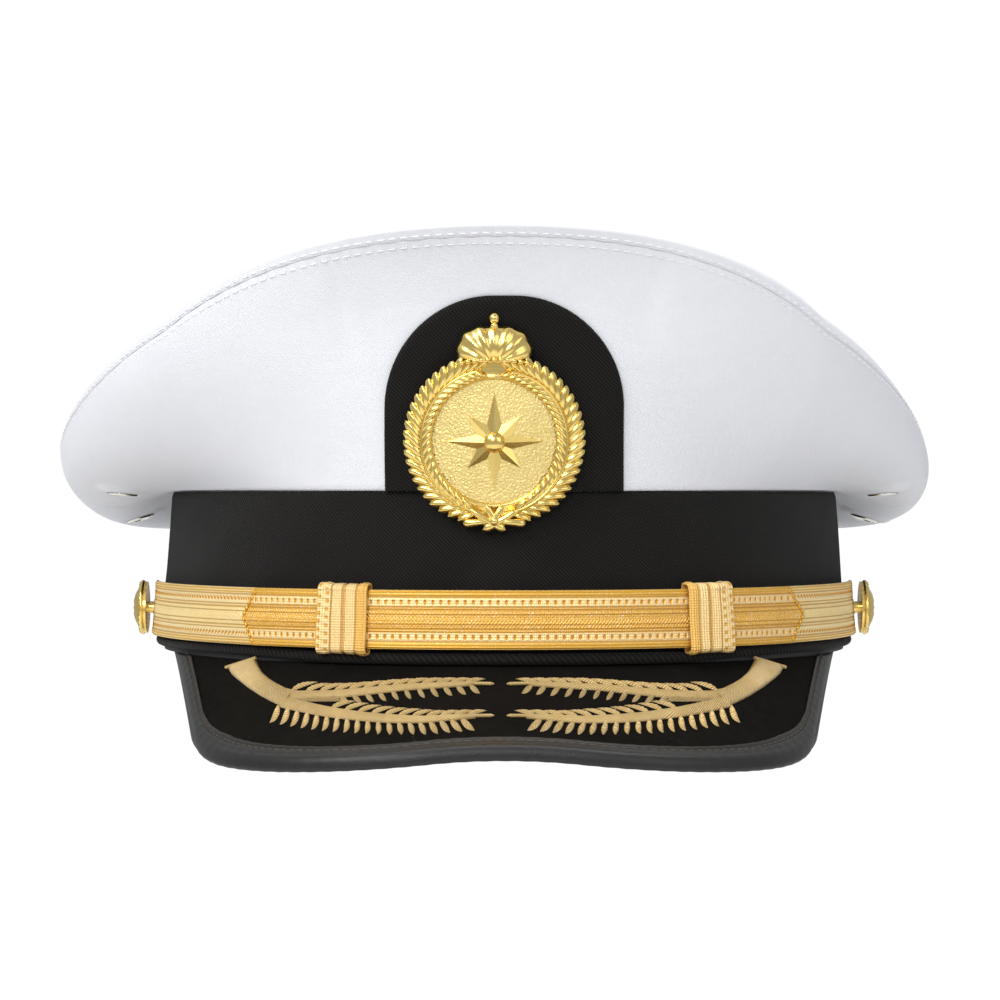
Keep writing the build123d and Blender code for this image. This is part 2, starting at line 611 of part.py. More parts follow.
# ---------------------------------------------------------------------------------- the chin strap
SIDE_STRAP_BACK = KEEPER_STANDOFF + KEEPER_WALL + KEEPER_CLEARANCE
CENTRE_STRAP_BACK = SIDE_STRAP_BACK + LACE_THICKNESS + STRAP_CLEARANCE
STRAP_FACE = CENTRE_STRAP_BACK + LACE_THICKNESS
STRAP_TOP = STRAP_BOTTOM + STRAP_WIDTH


def lace(back, t0, t1):
    """Length of flat lace against the band."""
    return wall(back, back + LACE_THICKNESS, STRAP_BOTTOM, STRAP_TOP, t0, t1)


def tip_corners(t, sign):
    """Cutters that point the centre strap's end at t."""
    middle = STRAP_BOTTOM + STRAP_WIDTH / 2
    half = STRAP_WIDTH / 2 + 1
    plane = Plane(origin=wall_point(t, 0, middle), x_dir=Vector(cos(radians(t)), sin(radians(t)), 0), z_dir=facing(t))
    cutters = []
    for up in (-1, 1):
        corner = Polyline((0, 0), (-sign * TIP_LENGTH, up * half), (sign * 2, up * half), (sign * 2, 0), close=True)
        cutters.append(extrude(plane * make_face(corner), amount=10, both=True))
    return cutters


def make_strap(parts):
    """Two side straps, the centre strap over them, and the two keepers round both."""
    for name, sign in SIDES:
        place, outward = shank_line(sign)
        shank_angle = degrees(pi / 2 - BUTTON_FORWARD / SIDE_RADIUS)
        outer_end = shank_angle + degrees(TAB_LENGTH / SIDE_RADIUS)
        ends = sorted((sign * outer_end, STRAP_SHIFT + sign * STRAP_MEET_ANGLE))
        hole = disc(place, outward, SHANK_RADIUS + TAB_HOLE_CLEARANCE, 0, 10)
        parts[f"strap_{name}"] = lace(SIDE_STRAP_BACK, *ends) - hole
        middle = STRAP_SHIFT + sign * KEEPER_ANGLE
        ends = (middle - KEEPER_HALF_ANGLE, middle + KEEPER_HALF_ANGLE)
        front = STRAP_FACE + KEEPER_CLEARANCE
        gap = KEEPER_CLEARANCE
        low, high = STRAP_BOTTOM - gap, STRAP_TOP + gap
        shell = wall(KEEPER_STANDOFF, front + KEEPER_WALL, low - KEEPER_WALL, high + KEEPER_WALL, *ends)
        slot = wall(KEEPER_STANDOFF + KEEPER_WALL, front, low, high, ends[0] - 2, ends[1] + 2)
        parts[f"keeper_{name}"] = shell - slot
    centre = lace(CENTRE_STRAP_BACK, STRAP_SHIFT - TIP_ANGLE, STRAP_SHIFT + TIP_ANGLE)
    for sign in (-1, 1):
        for cutter in tip_corners(STRAP_SHIFT + sign * TIP_ANGLE, sign):
            centre = centre - cutter
    parts["strap_centre"] = centre


# ------------------------------------------------------------------------------------- the buttons
def make_buttons(parts):
    """Domed front, back with its shank, and the nut behind the band."""
    curve = (BUTTON_RADIUS**2 + BUTTON_RISE**2) / (2 * BUTTON_RISE)
    dome_start = BUTTON_STANDOFF + BUTTON_BACK_THICKNESS + SEAM_GAP
    middle = dome_start + BUTTON_RISE - curve
    nut_face = COVER_THICKNESS + STIFFENER_THICKNESS + BUTTON_NUT_GAP
    reach = nut_face + BUTTON_NUT_THICKNESS
    for name, sign in SIDES:
        place, outward = shank_line(sign)
        cap = Pos(0, 0, middle) * (Sphere(curve) - Sphere(curve - BUTTON_SHELL))
        room = Pos(0, 0, dome_start + BUTTON_RISE) * Cylinder(BUTTON_RADIUS + 1, 2 * BUTTON_RISE)
        parts[f"button_dome_{name}"] = Plane(origin=place, z_dir=outward) * (cap & room)
        back = disc(place, outward, BUTTON_RADIUS - 0.4, BUTTON_STANDOFF, BUTTON_BACK_THICKNESS)
        shank = disc(place, outward, SHANK_RADIUS, -reach, reach + BUTTON_STANDOFF + BUTTON_BACK_THICKNESS / 2)
        parts[f"button_back_{name}"] = back + shank
        nut = disc(place, outward, BUTTON_NUT_RADIUS, -reach, BUTTON_NUT_THICKNESS)
        parts[f"button_nut_{name}"] = nut - disc(place, outward, SHANK_RADIUS, -reach - 1, reach)


def main():
    parts = {}
    for make in (make_crown, make_badge, make_band, make_visor, make_strap, make_buttons):
        make(parts)
    os.makedirs("parts", exist_ok=True)
    for name, shape in parts.items():
        solids = [piece.solids() for piece in shape] if isinstance(shape, list) else [shape.solids()]
        solids = [solid for group in solids for solid in group]
        export_step(solids[0] if len(solids) == 1 else Compound(children=solids), f"parts/{name}.step")


main()
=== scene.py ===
from math import comb, pi, radians, tan

import bmesh
import bpy
import numpy as np
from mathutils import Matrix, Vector


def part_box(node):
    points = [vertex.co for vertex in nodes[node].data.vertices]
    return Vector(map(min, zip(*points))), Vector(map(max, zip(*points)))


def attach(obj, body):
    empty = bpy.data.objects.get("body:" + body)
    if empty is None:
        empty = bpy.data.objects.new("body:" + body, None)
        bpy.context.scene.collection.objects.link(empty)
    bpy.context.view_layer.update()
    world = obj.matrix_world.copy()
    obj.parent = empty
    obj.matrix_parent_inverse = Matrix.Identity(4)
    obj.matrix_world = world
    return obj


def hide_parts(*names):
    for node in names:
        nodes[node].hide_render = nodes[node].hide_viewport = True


# Looks of an officer's peaked cap. Lengths here are in millimetres until a mesh is made. The origin is the
# middle of the head opening, +Z is up, the visor points along -Y and the wearer's left is +X.

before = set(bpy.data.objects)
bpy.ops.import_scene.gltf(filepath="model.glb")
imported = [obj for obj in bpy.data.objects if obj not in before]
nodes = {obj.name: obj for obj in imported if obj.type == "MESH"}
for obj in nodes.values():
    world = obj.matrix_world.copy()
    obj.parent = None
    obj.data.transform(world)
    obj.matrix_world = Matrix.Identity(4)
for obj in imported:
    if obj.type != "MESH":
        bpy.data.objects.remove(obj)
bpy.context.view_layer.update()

# ------------------------------------------------------------------------------- the cap's own sizes
HALF_LENGTH = 108.0
END_RADIUS, END_CENTRE = 79.0, 29.0
SIDE_RADIUS, SIDE_CENTRE = 126.05, 37.05
JOIN_ANGLE = np.degrees(np.arctan2(SIDE_CENTRE, END_CENTRE))
BAND_HEIGHT, BAND_TAPER = 40.0, 3.0
LEAN = BAND_TAPER / BAND_HEIGHT
CROWN_STATIONS = np.array([
    [(0, 0), (0.5, 12), (3, 24), (6, 38.5), (11.5, 50.2), (19.5, 59.5)],
    [(0, 0), (4.5, 8), (9.7, 16.3), (16.2, 26.6), (21.8, 37), (22, 45)],
    [(0, 0), (8, -2), (15, -7.5), (27, -7), (27.8, 4), (25.4, 9)],
    [(0, 0), (6, -7), (12, -15), (27, -14), (29, 2), (26, 12)],
    [(0, 0), (5, -6), (10, -13), (24, -12), (27, 4), (24, 17)],
])
CROWN_SWAY = 3.2  # how far the rim leans towards the wearer's right
CROWN_SEAM = 0.955  # share of the crown's profile where the side panels meet the top panel
TOP_SAG = 9.0
PIPING_RADIUS, PIPING_PROUD = 1.25, 0.75
VENTS = {"front_left": 80, "front_right": -80, "rear_left": 100, "rear_right": -100}
VENT_SHARE = 0.33
PATCH_HALF_WIDTH, PATCH_TOP, PATCH_CORNER = 27.5, 84.5, 25.0
BADGE_FOOT, BADGE_RADIUS, BADGE_BEND, BADGE_SHIFT = 31.5, 20.4, 78.0, 2.3
VISOR_SLOPE = radians(25)
VISOR_FRONT, VISOR_HALF, VISOR_SPLAY, VISOR_CORNER = -144.0, 64.5, radians(9.5), 56.0
VISOR_WIDEST, BINDING_WIDTH = 81.3, 4.6
STRAP_MIDDLE, STRAP_WIDTH = 10.5, 13.6
STRAP_SHIFT, STRAP_REACH, KEEPER_ANGLE = 4.4, 54.1, 31.7  # degrees round the band
STRAP_RADIUS, KEEPER_RADIUS = 88, 83  # of the band where they lie, for turning degrees into millimetres
SIDES = (("left", 1), ("right", -1))


# ------------------------------------------------------------------------------------------ shapes
def stack(*parts):
    """Coordinates, whichever size each is, as one array of points."""
    return np.stack(np.broadcast_arrays(*parts), -1).astype(float)


def wall_point(t, offset, z):
    """Point of the band's four-arc oval that faces direction t, moved outwards by offset, at height z.

    The arc's centre plus its radius and the offset along (sin t, -cos t).
    """
    t = (np.asarray(t, float) + 180) % 360 - 180
    a = np.radians(t)
    side = (np.abs(t) > JOIN_ANGLE) & (np.abs(t) < 180 - JOIN_ANGLE)
    centre_x = np.where(side, -SIDE_CENTRE * np.sign(t), 0.0)
    centre_y = np.where(side, 0.0, np.where(np.abs(t) <= JOIN_ANGLE, -END_CENTRE, END_CENTRE))
    radius = np.where(side, SIDE_RADIUS, END_RADIUS) + offset
    return stack(centre_x + np.sin(a) * radius, centre_y - np.cos(a) * radius, z)


def around(values, t):
    """Cosine series in t through five values, 45 degrees apart; values' first axis is the station."""
    weights = np.array([0.5, 1, 1, 1, 0.5])
    k = np.arange(5)
    terms = np.cos(np.outer(k, k) * pi / 4) * weights / 2
    waves = np.cos(np.multiply.outer(np.radians(t), k)) * weights
    return np.tensordot(waves @ terms, values, axes=(-1, 0))


def crown_point(t, u, depth=0.0):
    """Point of the crown's side: a Bezier curve of degree five in u whose control points run round in t.

    It is then moved inwards by depth, square to the curve, and towards the wearer's right by u squared.
    """
    t, u = np.broadcast_arrays(np.asarray(t, float), np.asarray(u, float))
    poles = around(CROWN_STATIONS, t)
    place = sum((comb(5, i) * u**i * (1 - u) ** (5 - i))[..., None] * poles[..., i, :] for i in range(6))
    slope = sum(
        (comb(4, i) * u**i * (1 - u) ** (4 - i))[..., None] * (poles[..., i + 1, :] - poles[..., i, :])
        for i in range(5)
    )
    slope /= np.linalg.norm(slope, axis=-1, keepdims=True)
    outward = place[..., 0] - depth * slope[..., 1]
    upward = place[..., 1] + depth * slope[..., 0]
    outward = outward - CROWN_SWAY * u**2 * np.sin(np.radians(t))
    return wall_point(t, outward - BAND_TAPER, BAND_HEIGHT + 0.1 + upward)


def grid(rows, columns):
    """Two arrays over a grid, the first changing down the rows and the second along the columns."""
    return np.meshgrid(rows, columns, indexing="ij")


def measured(points, wrap_rows=False, wrap_columns=False):
    """Pattern coordinates of a grid in millimetres: the mean distance walked along each of its directions."""
    walked = []
    for axis, wrap in ((0, wrap_rows), (1, wrap_columns)):
        closed = np.concatenate([points, points.take([0], axis)], axis) if wrap else points
        steps = np.linalg.norm(np.diff(closed, axis=axis), axis=-1).mean(1 - axis)
        walked.append(np.concatenate([[0], np.cumsum(steps)]))
    return stack(*grid(*walked))


def bezier(points, share):
    """Quadratic Bezier curve: (1-s)^2 A + 2s(1-s) B + s^2 C, for three arrays of points."""
    a, b, c = points
    share = np.asarray(share)[..., None]
    return (1 - share) ** 2 * a + 2 * share * (1 - share) * b + share**2 * c


def unit(vectors):
    return vectors / np.maximum(np.linalg.norm(vectors, axis=-1, keepdims=True), 1e-9)


def bump_of(distance, width):
    """Bell curve: one at no distance, and falling off over the width."""
    return np.exp(-((distance / width) ** 2))


def tubes(paths, radii, turns=10, flat=1.0, up=(0, 0, 1)):
    """Tubes round paths: each path's point plus a circle of its radius in the plane across the path.

    paths is (count, points, 3); flat squeezes the circle along up.
    """
    along = unit(np.gradient(paths, axis=1))
    up = np.asarray(up, float) if np.ndim(up) > 1 else np.broadcast_to(np.asarray(up, float), paths.shape)
    across = unit(np.cross(along, up))
    lift = np.cross(across, along)
    angle = np.arange(turns) * 2 * pi / turns
    ring = across[:, :, None] * np.cos(angle)[:, None] + flat * lift[:, :, None] * np.sin(angle)[:, None]
    return paths[:, :, None] + ring * np.asarray(radii)[..., None, None]


def grains(centres, along, up, length, radius, rings=6, turns=6, flat=1.0):
    """Small closed grains: along*length/2*cos(a) plus radius*sin(a) round the other two directions."""
    a = np.linspace(0, pi, rings)[:, None, None]
    b = (np.arange(turns) * 2 * pi / turns)[None, :, None]
    along, up = unit(along), unit(up)
    across = np.cross(along, up)
    along, up, across, centres = (v[:, None, None, :] for v in (along, up, across, centres))
    return centres + along * np.cos(a) * length / 2 + radius * np.sin(a) * (
        across * np.cos(b) + flat * up * np.sin(b)
    )


def spaced(path, pitch):
    """Middle points and directions of equal steps along a path."""
    walked = np.concatenate([[0], np.cumsum(np.linalg.norm(np.diff(path, axis=0), axis=1))])
    count = max(2, int(round(walked[-1] / pitch)))
    stops = (np.arange(count) + 0.5) * walked[-1] / count
    place = np.stack([np.interp(stops, walked, path[:, k]) for k in range(path.shape[1])], -1)
    ahead = np.stack([np.interp(stops + 0.05, walked, path[:, k]) for k in range(path.shape[1])], -1)
    behind = np.stack([np.interp(stops - 0.05, walked, path[:, k]) for k in range(path.shape[1])], -1)
    return place, unit(ahead - behind)


def surface(name, points, finish, wrap_rows=False, wrap_columns=False, uv=None, keep=None, core=(0, 0, 30),
            wall=0.0, merge=False, flat_shaded=False, body="cap", stands_for=(), slot=None):
    """Mesh of quads through one grid of points, or through many grids of the same size.

    Faces are turned away from core, a point behind the surface, or from each grid's own middle.
    """
    many = points if points.ndim == 4 else points[None]
    count, rows, columns = many.shape[:3]
    i, j = grid(np.arange(rows - (not wrap_rows)), np.arange(columns - (not wrap_columns)))
    corners = [(i, j), (i + 1, j), (i + 1, j + 1), (i, j + 1)]
    faces = stack(*[(a % rows) * columns + b % columns for a, b in corners]).astype(int)
    if uv is None:
        uv = measured(many[0], wrap_rows, wrap_columns)
    pattern = np.stack([uv[a, b] for a, b in corners], -2)
    if keep is not None:
        faces, pattern = faces[keep], pattern[keep]
    faces, pattern = faces.reshape(-1, 4), pattern.reshape(-1, 4, 2)
    flat_points = many.reshape(count, -1, 3)
    quads = flat_points[:, faces]
    normal = np.cross(quads[:, :, 2] - quads[:, :, 0], quads[:, :, 3] - quads[:, :, 1])
    behind = flat_points.mean(1)[:, None] if isinstance(core, str) else np.asarray(core, float)
    facing = (normal * (quads.mean(2) - behind)).sum((1, 2)) > 0
    faces = faces + (np.arange(count) * rows * columns)[:, None, None]
    pattern = np.broadcast_to(pattern, (count, *pattern.shape))
    faces = np.where(facing[:, None, None], faces, faces[:, :, ::-1]).reshape(-1, 4)
    pattern = np.where(facing[:, None, None, None], pattern, pattern[:, :, ::-1]).reshape(-1, 2)
    used, faces = np.unique(faces, return_inverse=True)
    faces = faces.reshape(-1, 4)
    mesh = bpy.data.meshes.new(name)
    mesh.vertices.add(len(used))
    mesh.vertices.foreach_set("co", (many.reshape(-1, 3)[used] * 0.001).ravel())
    mesh.loops.add(faces.size)
    mesh.loops.foreach_set("vertex_index", faces.ravel().astype(np.int32))
    mesh.polygons.add(len(faces))
    mesh.polygons.foreach_set("loop_start", np.arange(0, faces.size, 4, dtype=np.int32))
    mesh.polygons.foreach_set("use_smooth", np.full(len(faces), not flat_shaded))
    mesh.uv_layers.new(name="surface_mm").data.foreach_set("uv", pattern.ravel().astype(np.float32))
    mesh.update(calc_edges=True)
    made = bpy.data.objects.new(name, mesh)
    bpy.context.scene.collection.objects.link(made)
    if merge:
        close_up(mesh)
    mesh.materials.append(finish.material)
    if wall:
        thickness = made.modifiers.new("cloth", "SOLIDIFY")
        thickness.thickness, thickness.offset = wall * 0.001, -1
    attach(made, body)
    if stands_for:
        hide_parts(*stands_for)
    return made


def close_up(mesh):
    """Merges the points that lie on each other, so that poles are closed."""
    work = bmesh.new()
    work.from_mesh(mesh)
    bmesh.ops.remove_doubles(work, verts=work.verts, dist=2e-6)
    work.to_mesh(mesh)
    work.free()


# ---------------------------------------------------------------------------------------- finishes
class Value:
    """A number or colour on its way through a material. Arithmetic on it adds Math nodes."""

    def __init__(self, finish, socket):
        self.finish, self.socket = finish, socket

    def math(self, operation, *inputs):
        return self.finish.node("Math", {"operation": operation}, dict(enumerate(inputs)))

    def __add__(self, other):
        return self.math("ADD", self, other)

    __radd__ = __add__

    def __sub__(self, other):
        return self.math("SUBTRACT", self, other)

    def __rsub__(self, other):
        return self.math("SUBTRACT", other, self)

    def __mul__(self, other):
        return self.math("MULTIPLY", self, other)

    __rmul__ = __mul__

    def __truediv__(self, other):
        return self.math("DIVIDE", self, other)

    def __pow__(self, other):
        return self.math("POWER", self, other)

    def sine(self):
        return self.math("SINE", self)

    def size(self):
        return self.math("ABSOLUTE", self)

    def part(self):
        return self.math("FRACT", self)

    def clear_of(self, limit, soft):
        """Nought below the limit and one above it, with a soft step between."""
        return self.finish.node(
            "MapRange", {"interpolation_type": "SMOOTHSTEP"},
            {"Value": self, "From Min": limit - soft, "From Max": limit + soft},
        )


class Finish:
    """A material: a Principled shader with constants on its own sockets, and what varies linked to it."""

    def __init__(self, name, **constants):
        self.material = bpy.data.materials.new(name)
        self.material.use_nodes = True
        self.tree = self.material.node_tree
        self.shader = next(n for n in self.tree.nodes if n.type == "BSDF_PRINCIPLED")
        for socket, value in constants.items():
            self.shader.inputs[socket.replace("_", " ")].default_value = value

    def node(self, kind, settings, inputs, output=0):
        """Adds a node: first its settings, then the values or links of its sockets. Gives one output."""
        made = self.tree.nodes.new("ShaderNode" + kind)
        for key, value in settings.items():
            setattr(made, key, value)
        for key, value in inputs.items():
            if isinstance(value, Value):
                self.tree.links.new(value.socket, made.inputs[key])
            else:
                made.inputs[key].default_value = value
        return Value(self, made.outputs[output])

    def place(self):
        """Where the point is on the object, in millimetres."""
        at = self.node("TexCoord", {}, {}, "Object")
        return self.node("VectorMath", {"operation": "SCALE"}, {0: at, "Scale": 1000.0})

    def pattern(self):
        """Distances along the surface's two directions, in millimetres, and both as one vector."""
        at = self.node("TexCoord", {}, {}, "UV")
        return self.part_of(at, "X"), self.part_of(at, "Y"), at

    def part_of(self, vector, axis):
        return self.node("SeparateXYZ", {}, {0: vector}, axis)

    def noise(self, at, size, detail=2.0, roughness=0.5, kind="3D"):
        """Soft noise about 0.5 whose lumps are size millimetres across."""
        return self.node(
            "TexNoise", {"noise_dimensions": kind},
            {"Vector": at, "Scale": 1.0 / size, "Detail": detail, "Roughness": roughness},
        )

    def cells(self, at, size, feature="F1"):
        return self.node("TexVoronoi", {"feature": feature}, {"Vector": at, "Scale": 1.0 / size}, "Distance")

    def lane(self, value, middle, half):
        """One where the value is within half of the middle, with soft sides."""
        return 1.0 - (value - middle).size().clear_of(half, half * 0.5)

    def mix(self, share, low, high):
        """Colour that goes from low to high."""
        low, high = ((*c, 1.0) if isinstance(c, tuple) else c for c in (low, high))
        return self.node("Mix", {"data_type": "RGBA"}, {0: share, 6: low, 7: high}, 2)

    def wear(self, colour=None, roughness=None, height=None, depth=0.1, strength=1.0):
        """Links what varies: colour, roughness, and a bump whose full height is depth millimetres."""
        if colour is not None:
            self.tree.links.new(colour.socket, self.shader.inputs["Base Color"])
        if roughness is not None:
            self.tree.links.new(roughness.socket, self.shader.inputs["Roughness"])
        if height is not None:
            inputs = {"Height": height, "Distance": depth * 0.001, "Strength": strength}
            normal = self.node("Bump", {}, inputs)
            self.tree.links.new(normal.socket, self.shader.inputs["Normal"])
        return self


def twill_height(along, across, pitch, float_length):
    """Diagonal ribs of a twill: a wave across the rib, broken up by the length of each thread's float."""
    rib = ((along + across) * (2 * pi / pitch)).sine()
    thread = ((along - across) * (2 * pi / float_length)).sine()
    return rib * 0.4 + thread * 0.14 + 0.5


def white_twill():
    f = Finish("white_cloth", Roughness=0.82, Specular_IOR_Level=0.2, Sheen_Weight=0.08, Sheen_Roughness=0.4)
    along, across, _ = f.pattern()
    spot = f.noise(f.place(), 22.0, 3.0)
    ribs = twill_height(along, across, 0.62, 0.5)
    tone = f.mix(spot, (0.815, 0.82, 0.85), (0.88, 0.882, 0.905))
    fine = f.noise(f.place(), 0.8, 2.0)
    shade = f.mix(ribs * 0.5 + fine * 0.4, (0.74, 0.75, 0.79), (1.0, 1.0, 1.0))
    colour = f.node("Mix", {"data_type": "RGBA", "blend_type": "MULTIPLY"}, {0: 0.55, 6: tone, 7: shade}, 2)
    slub = f.noise(f.place(), 6.0, 3.0)
    return f.wear(colour, 0.74 + fine * 0.16, ribs * 0.7 + fine * 0.7 + slub * 2.4, 0.09, 0.75)


def dark_twill(name, pitch=0.95, lift=1.0):
    f = Finish(name, Roughness=0.85, Specular_IOR_Level=0.12, Sheen_Weight=0.04, Sheen_Roughness=0.5)
    along, across, at = f.pattern()
    wander = f.noise(at, 9.0, 2.0)
    ribs = twill_height(along + wander * 0.6, across, pitch, 0.7)
    fuzz = f.noise(f.place(), 0.35, 3.0)
    faded = f.noise(f.place(), 16.0, 3.0)
    # Rib tops are lighter and the grooves darker: painted highlight and painted shade on the twill's ribs,
    # broken up by random fuzz and fading.
    share = (ribs.clear_of(0.55, 0.45) * 0.7 + 0.15) * (0.35 + fuzz * 0.9) * (0.55 + faded * 0.8)
    rib_shade_and_highlight_tones = (0.0028, 0.0025, 0.0022), (0.0215, 0.0198, 0.018)
    dark, light = (tuple(c * lift for c in tone) for tone in rib_shade_and_highlight_tones)
    colour = f.mix(share, dark, light)
    return f.wear(colour, 0.74 + fuzz * 0.2, ribs + fuzz * 0.25, 0.16, 0.85)


def felt():
    f = Finish("black_felt", Roughness=0.95, Specular_IOR_Level=0.04)
    at = f.place()
    fibre = f.noise(at, 0.5, 4.0, 0.7)
    matted = f.noise(at, 3.0, 4.0, 0.6)
    nap = f.noise(at, 18.0, 2.0)
    lint = (1.0 - f.cells(at, 2.6)).clear_of(0.93, 0.03) * f.noise(at, 5.0).clear_of(0.58, 0.03)
    share = fibre * 0.55 + matted * 0.35 + nap * 0.25 - 0.2
    colour = f.mix(share, (0.001, 0.0008, 0.0007), (0.0175, 0.0152, 0.0125))
    colour = f.mix(lint * 0.35, colour, (0.16, 0.15, 0.14))
    return f.wear(colour, 0.85 + fibre * 0.15, fibre * 0.7 + matted * 0.8, 0.22, 0.8)


def leather(name, dark, light, roughness, specular=0.5, grain=0.9):
    f = Finish(name, Specular_IOR_Level=specular)
    at = f.place()
    pores = f.cells(at, grain, "F1")
    crease = f.noise(at, grain * 5, 4.0)
    soft = f.noise(at, 24.0, 2.0)
    colour = f.mix(crease * 0.6 + soft * 0.4, dark, light)
    return f.wear(colour, roughness - 0.08 + crease * 0.16, pores * 0.6 + crease * 0.9, 0.07, 0.7)


def gilt(name, low, high, roughness, stipple=0.0, grain=0.5):
    f = Finish(name, Metallic=1.0)
    at = f.place()
    dull = f.noise(at, 5.0, 3.0)
    sand = f.noise(at, grain, 2.0, 0.6)
    pits = f.cells(at, grain * 1.1)
    colour = f.mix(dull * 0.7 + sand * (0.3 + stipple * 0.3), low, high)
    height = sand * (0.15 + stipple) + pits * stipple
    gloss = roughness - 0.06 + dull * 0.12 + sand * stipple * 0.1
    return f.wear(colour, gloss, height, 0.09, 0.55 + stipple * 0.35)


def lace_finish(name, dot_pitch, across_beads, slant, low, high):
    """Woven metal lace: ribbed edges, two rows of dots and a braided middle, drawn along the strap.

    Slant leans the dots, and low and high are the ends of the gold's tone.
    """
    f = Finish(name, Metallic=0.5, Specular_IOR_Level=0.6)
    along, across, _ = f.pattern()
    far = across.size()
    weft = (along * (2 * pi / 0.5)).sine()
    cords = (far * (2 * pi / 0.62)).sine()
    braid = ((along + far * 0.9) * (2 * pi / 0.9)).sine() * (1.0 - far.clear_of(1.9, 0.15))
    edge = far.clear_of(5.3, 0.12)
    lines = f.lane(far, 1.15, 0.13) + f.lane(far, 2.15, 0.2)
    lines = lines + f.lane(far, 2.85, 0.14) + f.lane(far, 5.15, 0.2)
    dot_along = ((along / dot_pitch + far * slant).part() - 0.5) * dot_pitch
    dot_across = far - across_beads
    dots = 1.0 - (dot_along * dot_along * 1.7 + dot_across * dot_across * 0.7).clear_of(0.2, 0.12)
    # Between the dots the bead lane is lighter: a painted highlight on the raised weave.
    painted_highlight_lane = f.lane(far, across_beads, 1.0) * (1.0 - dots)
    tarnish = f.noise(f.place(), 7.0, 3.0)
    thread = f.noise(f.place(), 0.5, 2.0)
    base = f.mix(tarnish * 0.7 + thread * 0.7 - 0.25 + braid * 0.3, low, high)
    base = f.mix(painted_highlight_lane * (0.35 + thread * 0.6), base, (1.0, 0.80, 0.44))
    glint = f.noise(f.place(), 0.32, 1.0).clear_of(0.64, 0.05)
    base = f.mix(glint * 0.8, base, (1.0, 0.92, 0.68))
    base = f.mix(edge * (0.5 + cords * 0.5), base, (0.80, 0.43, 0.035))
    base = f.mix(lines * 0.7, base, (0.50, 0.24, 0.025))
    colour = f.mix(dots * 0.95, base, (0.72, 0.32, 0.01))
    height = weft * 0.12 * (1.0 - edge) + cords * (0.16 + edge * 0.24)
    height = height + braid * 0.25 - dots * 0.7 - lines * 0.4
    return f.wear(colour, 0.42 + thread * 0.24, height, 0.24, 0.9)


def keeper_finish():
    """Lace of the keepers: from the outer edge a dotted lane, fine ribs, a light band and a darker edge."""
    f = Finish("keeper_lace", Metallic=0.35, Specular_IOR_Level=0.6)
    run, walked, _ = f.pattern()
    outer = 6.4 - run
    ribs = (outer * (2 * pi / 0.75)).sine()
    weft = (walked * (2 * pi / 0.6)).sine()
    thread = f.noise(f.place(), 0.5, 2.0)
    dot_along = ((walked / 1.9).part() - 0.5) * 1.9
    dots = f.lane(outer, 0.5, 0.45) * (1.0 - dot_along.size().clear_of(0.45, 0.15))
    dots = dots + f.lane(outer, 2.5, 0.4) * dot_along.size().clear_of(0.55, 0.15)
    lines = f.lane(outer, 3.6, 0.2) + f.lane(outer, 6.9, 0.45) + f.lane(outer, 10.1, 0.3)
    base = f.mix(thread * 0.9 + ribs * 0.16 + weft * 0.1, (0.92, 0.60, 0.20), (1.0, 0.84, 0.50))
    base = f.mix(outer.clear_of(10.4, 0.2) * 0.8, base, (0.86, 0.50, 0.09))
    base = f.mix(lines * 0.75, base, (0.58, 0.30, 0.04))
    colour = f.mix(dots * 0.9, base, (0.74, 0.34, 0.015))
    height = ribs * 0.3 + weft * 0.2 - dots * 0.6 - lines * 0.5
    return f.wear(colour, 0.42 + thread * 0.24, height, 0.24, 0.9)


def gold_thread():
    """Satin stitch: fine ridges across the direction in which the piece runs, with painted highlight and
    painted shade on them.
    """
    f = Finish("gold_thread", Specular_IOR_Level=0.9)
    along, across, at = f.pattern()
    wander = f.noise(at, 2.0, 2.0)
    ridge = ((along + across.size() * 0.9 + wander * 0.3) * (2 * pi / 0.72)).sine()
    shine = f.noise(f.place(), 1.6, 3.0)
    # Colour follows the ridges and the shine noise: painted highlight on ridge tops, painted shade between
    # them, and painted sheen in patches.
    share = ridge * 0.45 + shine * 0.9 + 0.22
    colour = f.mix(share, (0.66, 0.32, 0.045), (1.0, 0.78, 0.36))
    return f.wear(colour, 0.36 + shine * 0.2, ridge * 0.8 + shine * 0.4, 0.3, 1.0)


def plain(name, dark, light, roughness, size=6.0, depth=0.05, **constants):
    """Board, plastic, nickel or brass: mottled, with fine scratches or fibres."""
    f = Finish(name, **constants)
    at = f.place()
    mottle = f.noise(at, size, 4.0)
    fine = f.noise(at, size / 12, 2.0)
    colour = f.mix(mottle, dark, light)
    return f.wear(colour, roughness - 0.07 + mottle * 0.14, fine + mottle * 0.5, depth, 0.5)


def satin():
    f = Finish("lining_satin", Specular_IOR_Level=0.6, Sheen_Weight=0.3)
    along, across, _ = f.pattern()
    weave = ((along + across * 0.2) * (2 * pi / 0.5)).sine() * 0.5 + ((across) * (2 * pi / 0.4)).sine() * 0.2
    soft = f.noise(f.place(), 9.0, 3.0)
    colour = f.mix(soft * 0.7 + weave * 0.1 + 0.1, (0.06, 0.06, 0.066), (0.17, 0.17, 0.185))
    return f.wear(colour, 0.34 + soft * 0.14, weave * 0.3 + soft * 2.0, 0.12, 0.6)


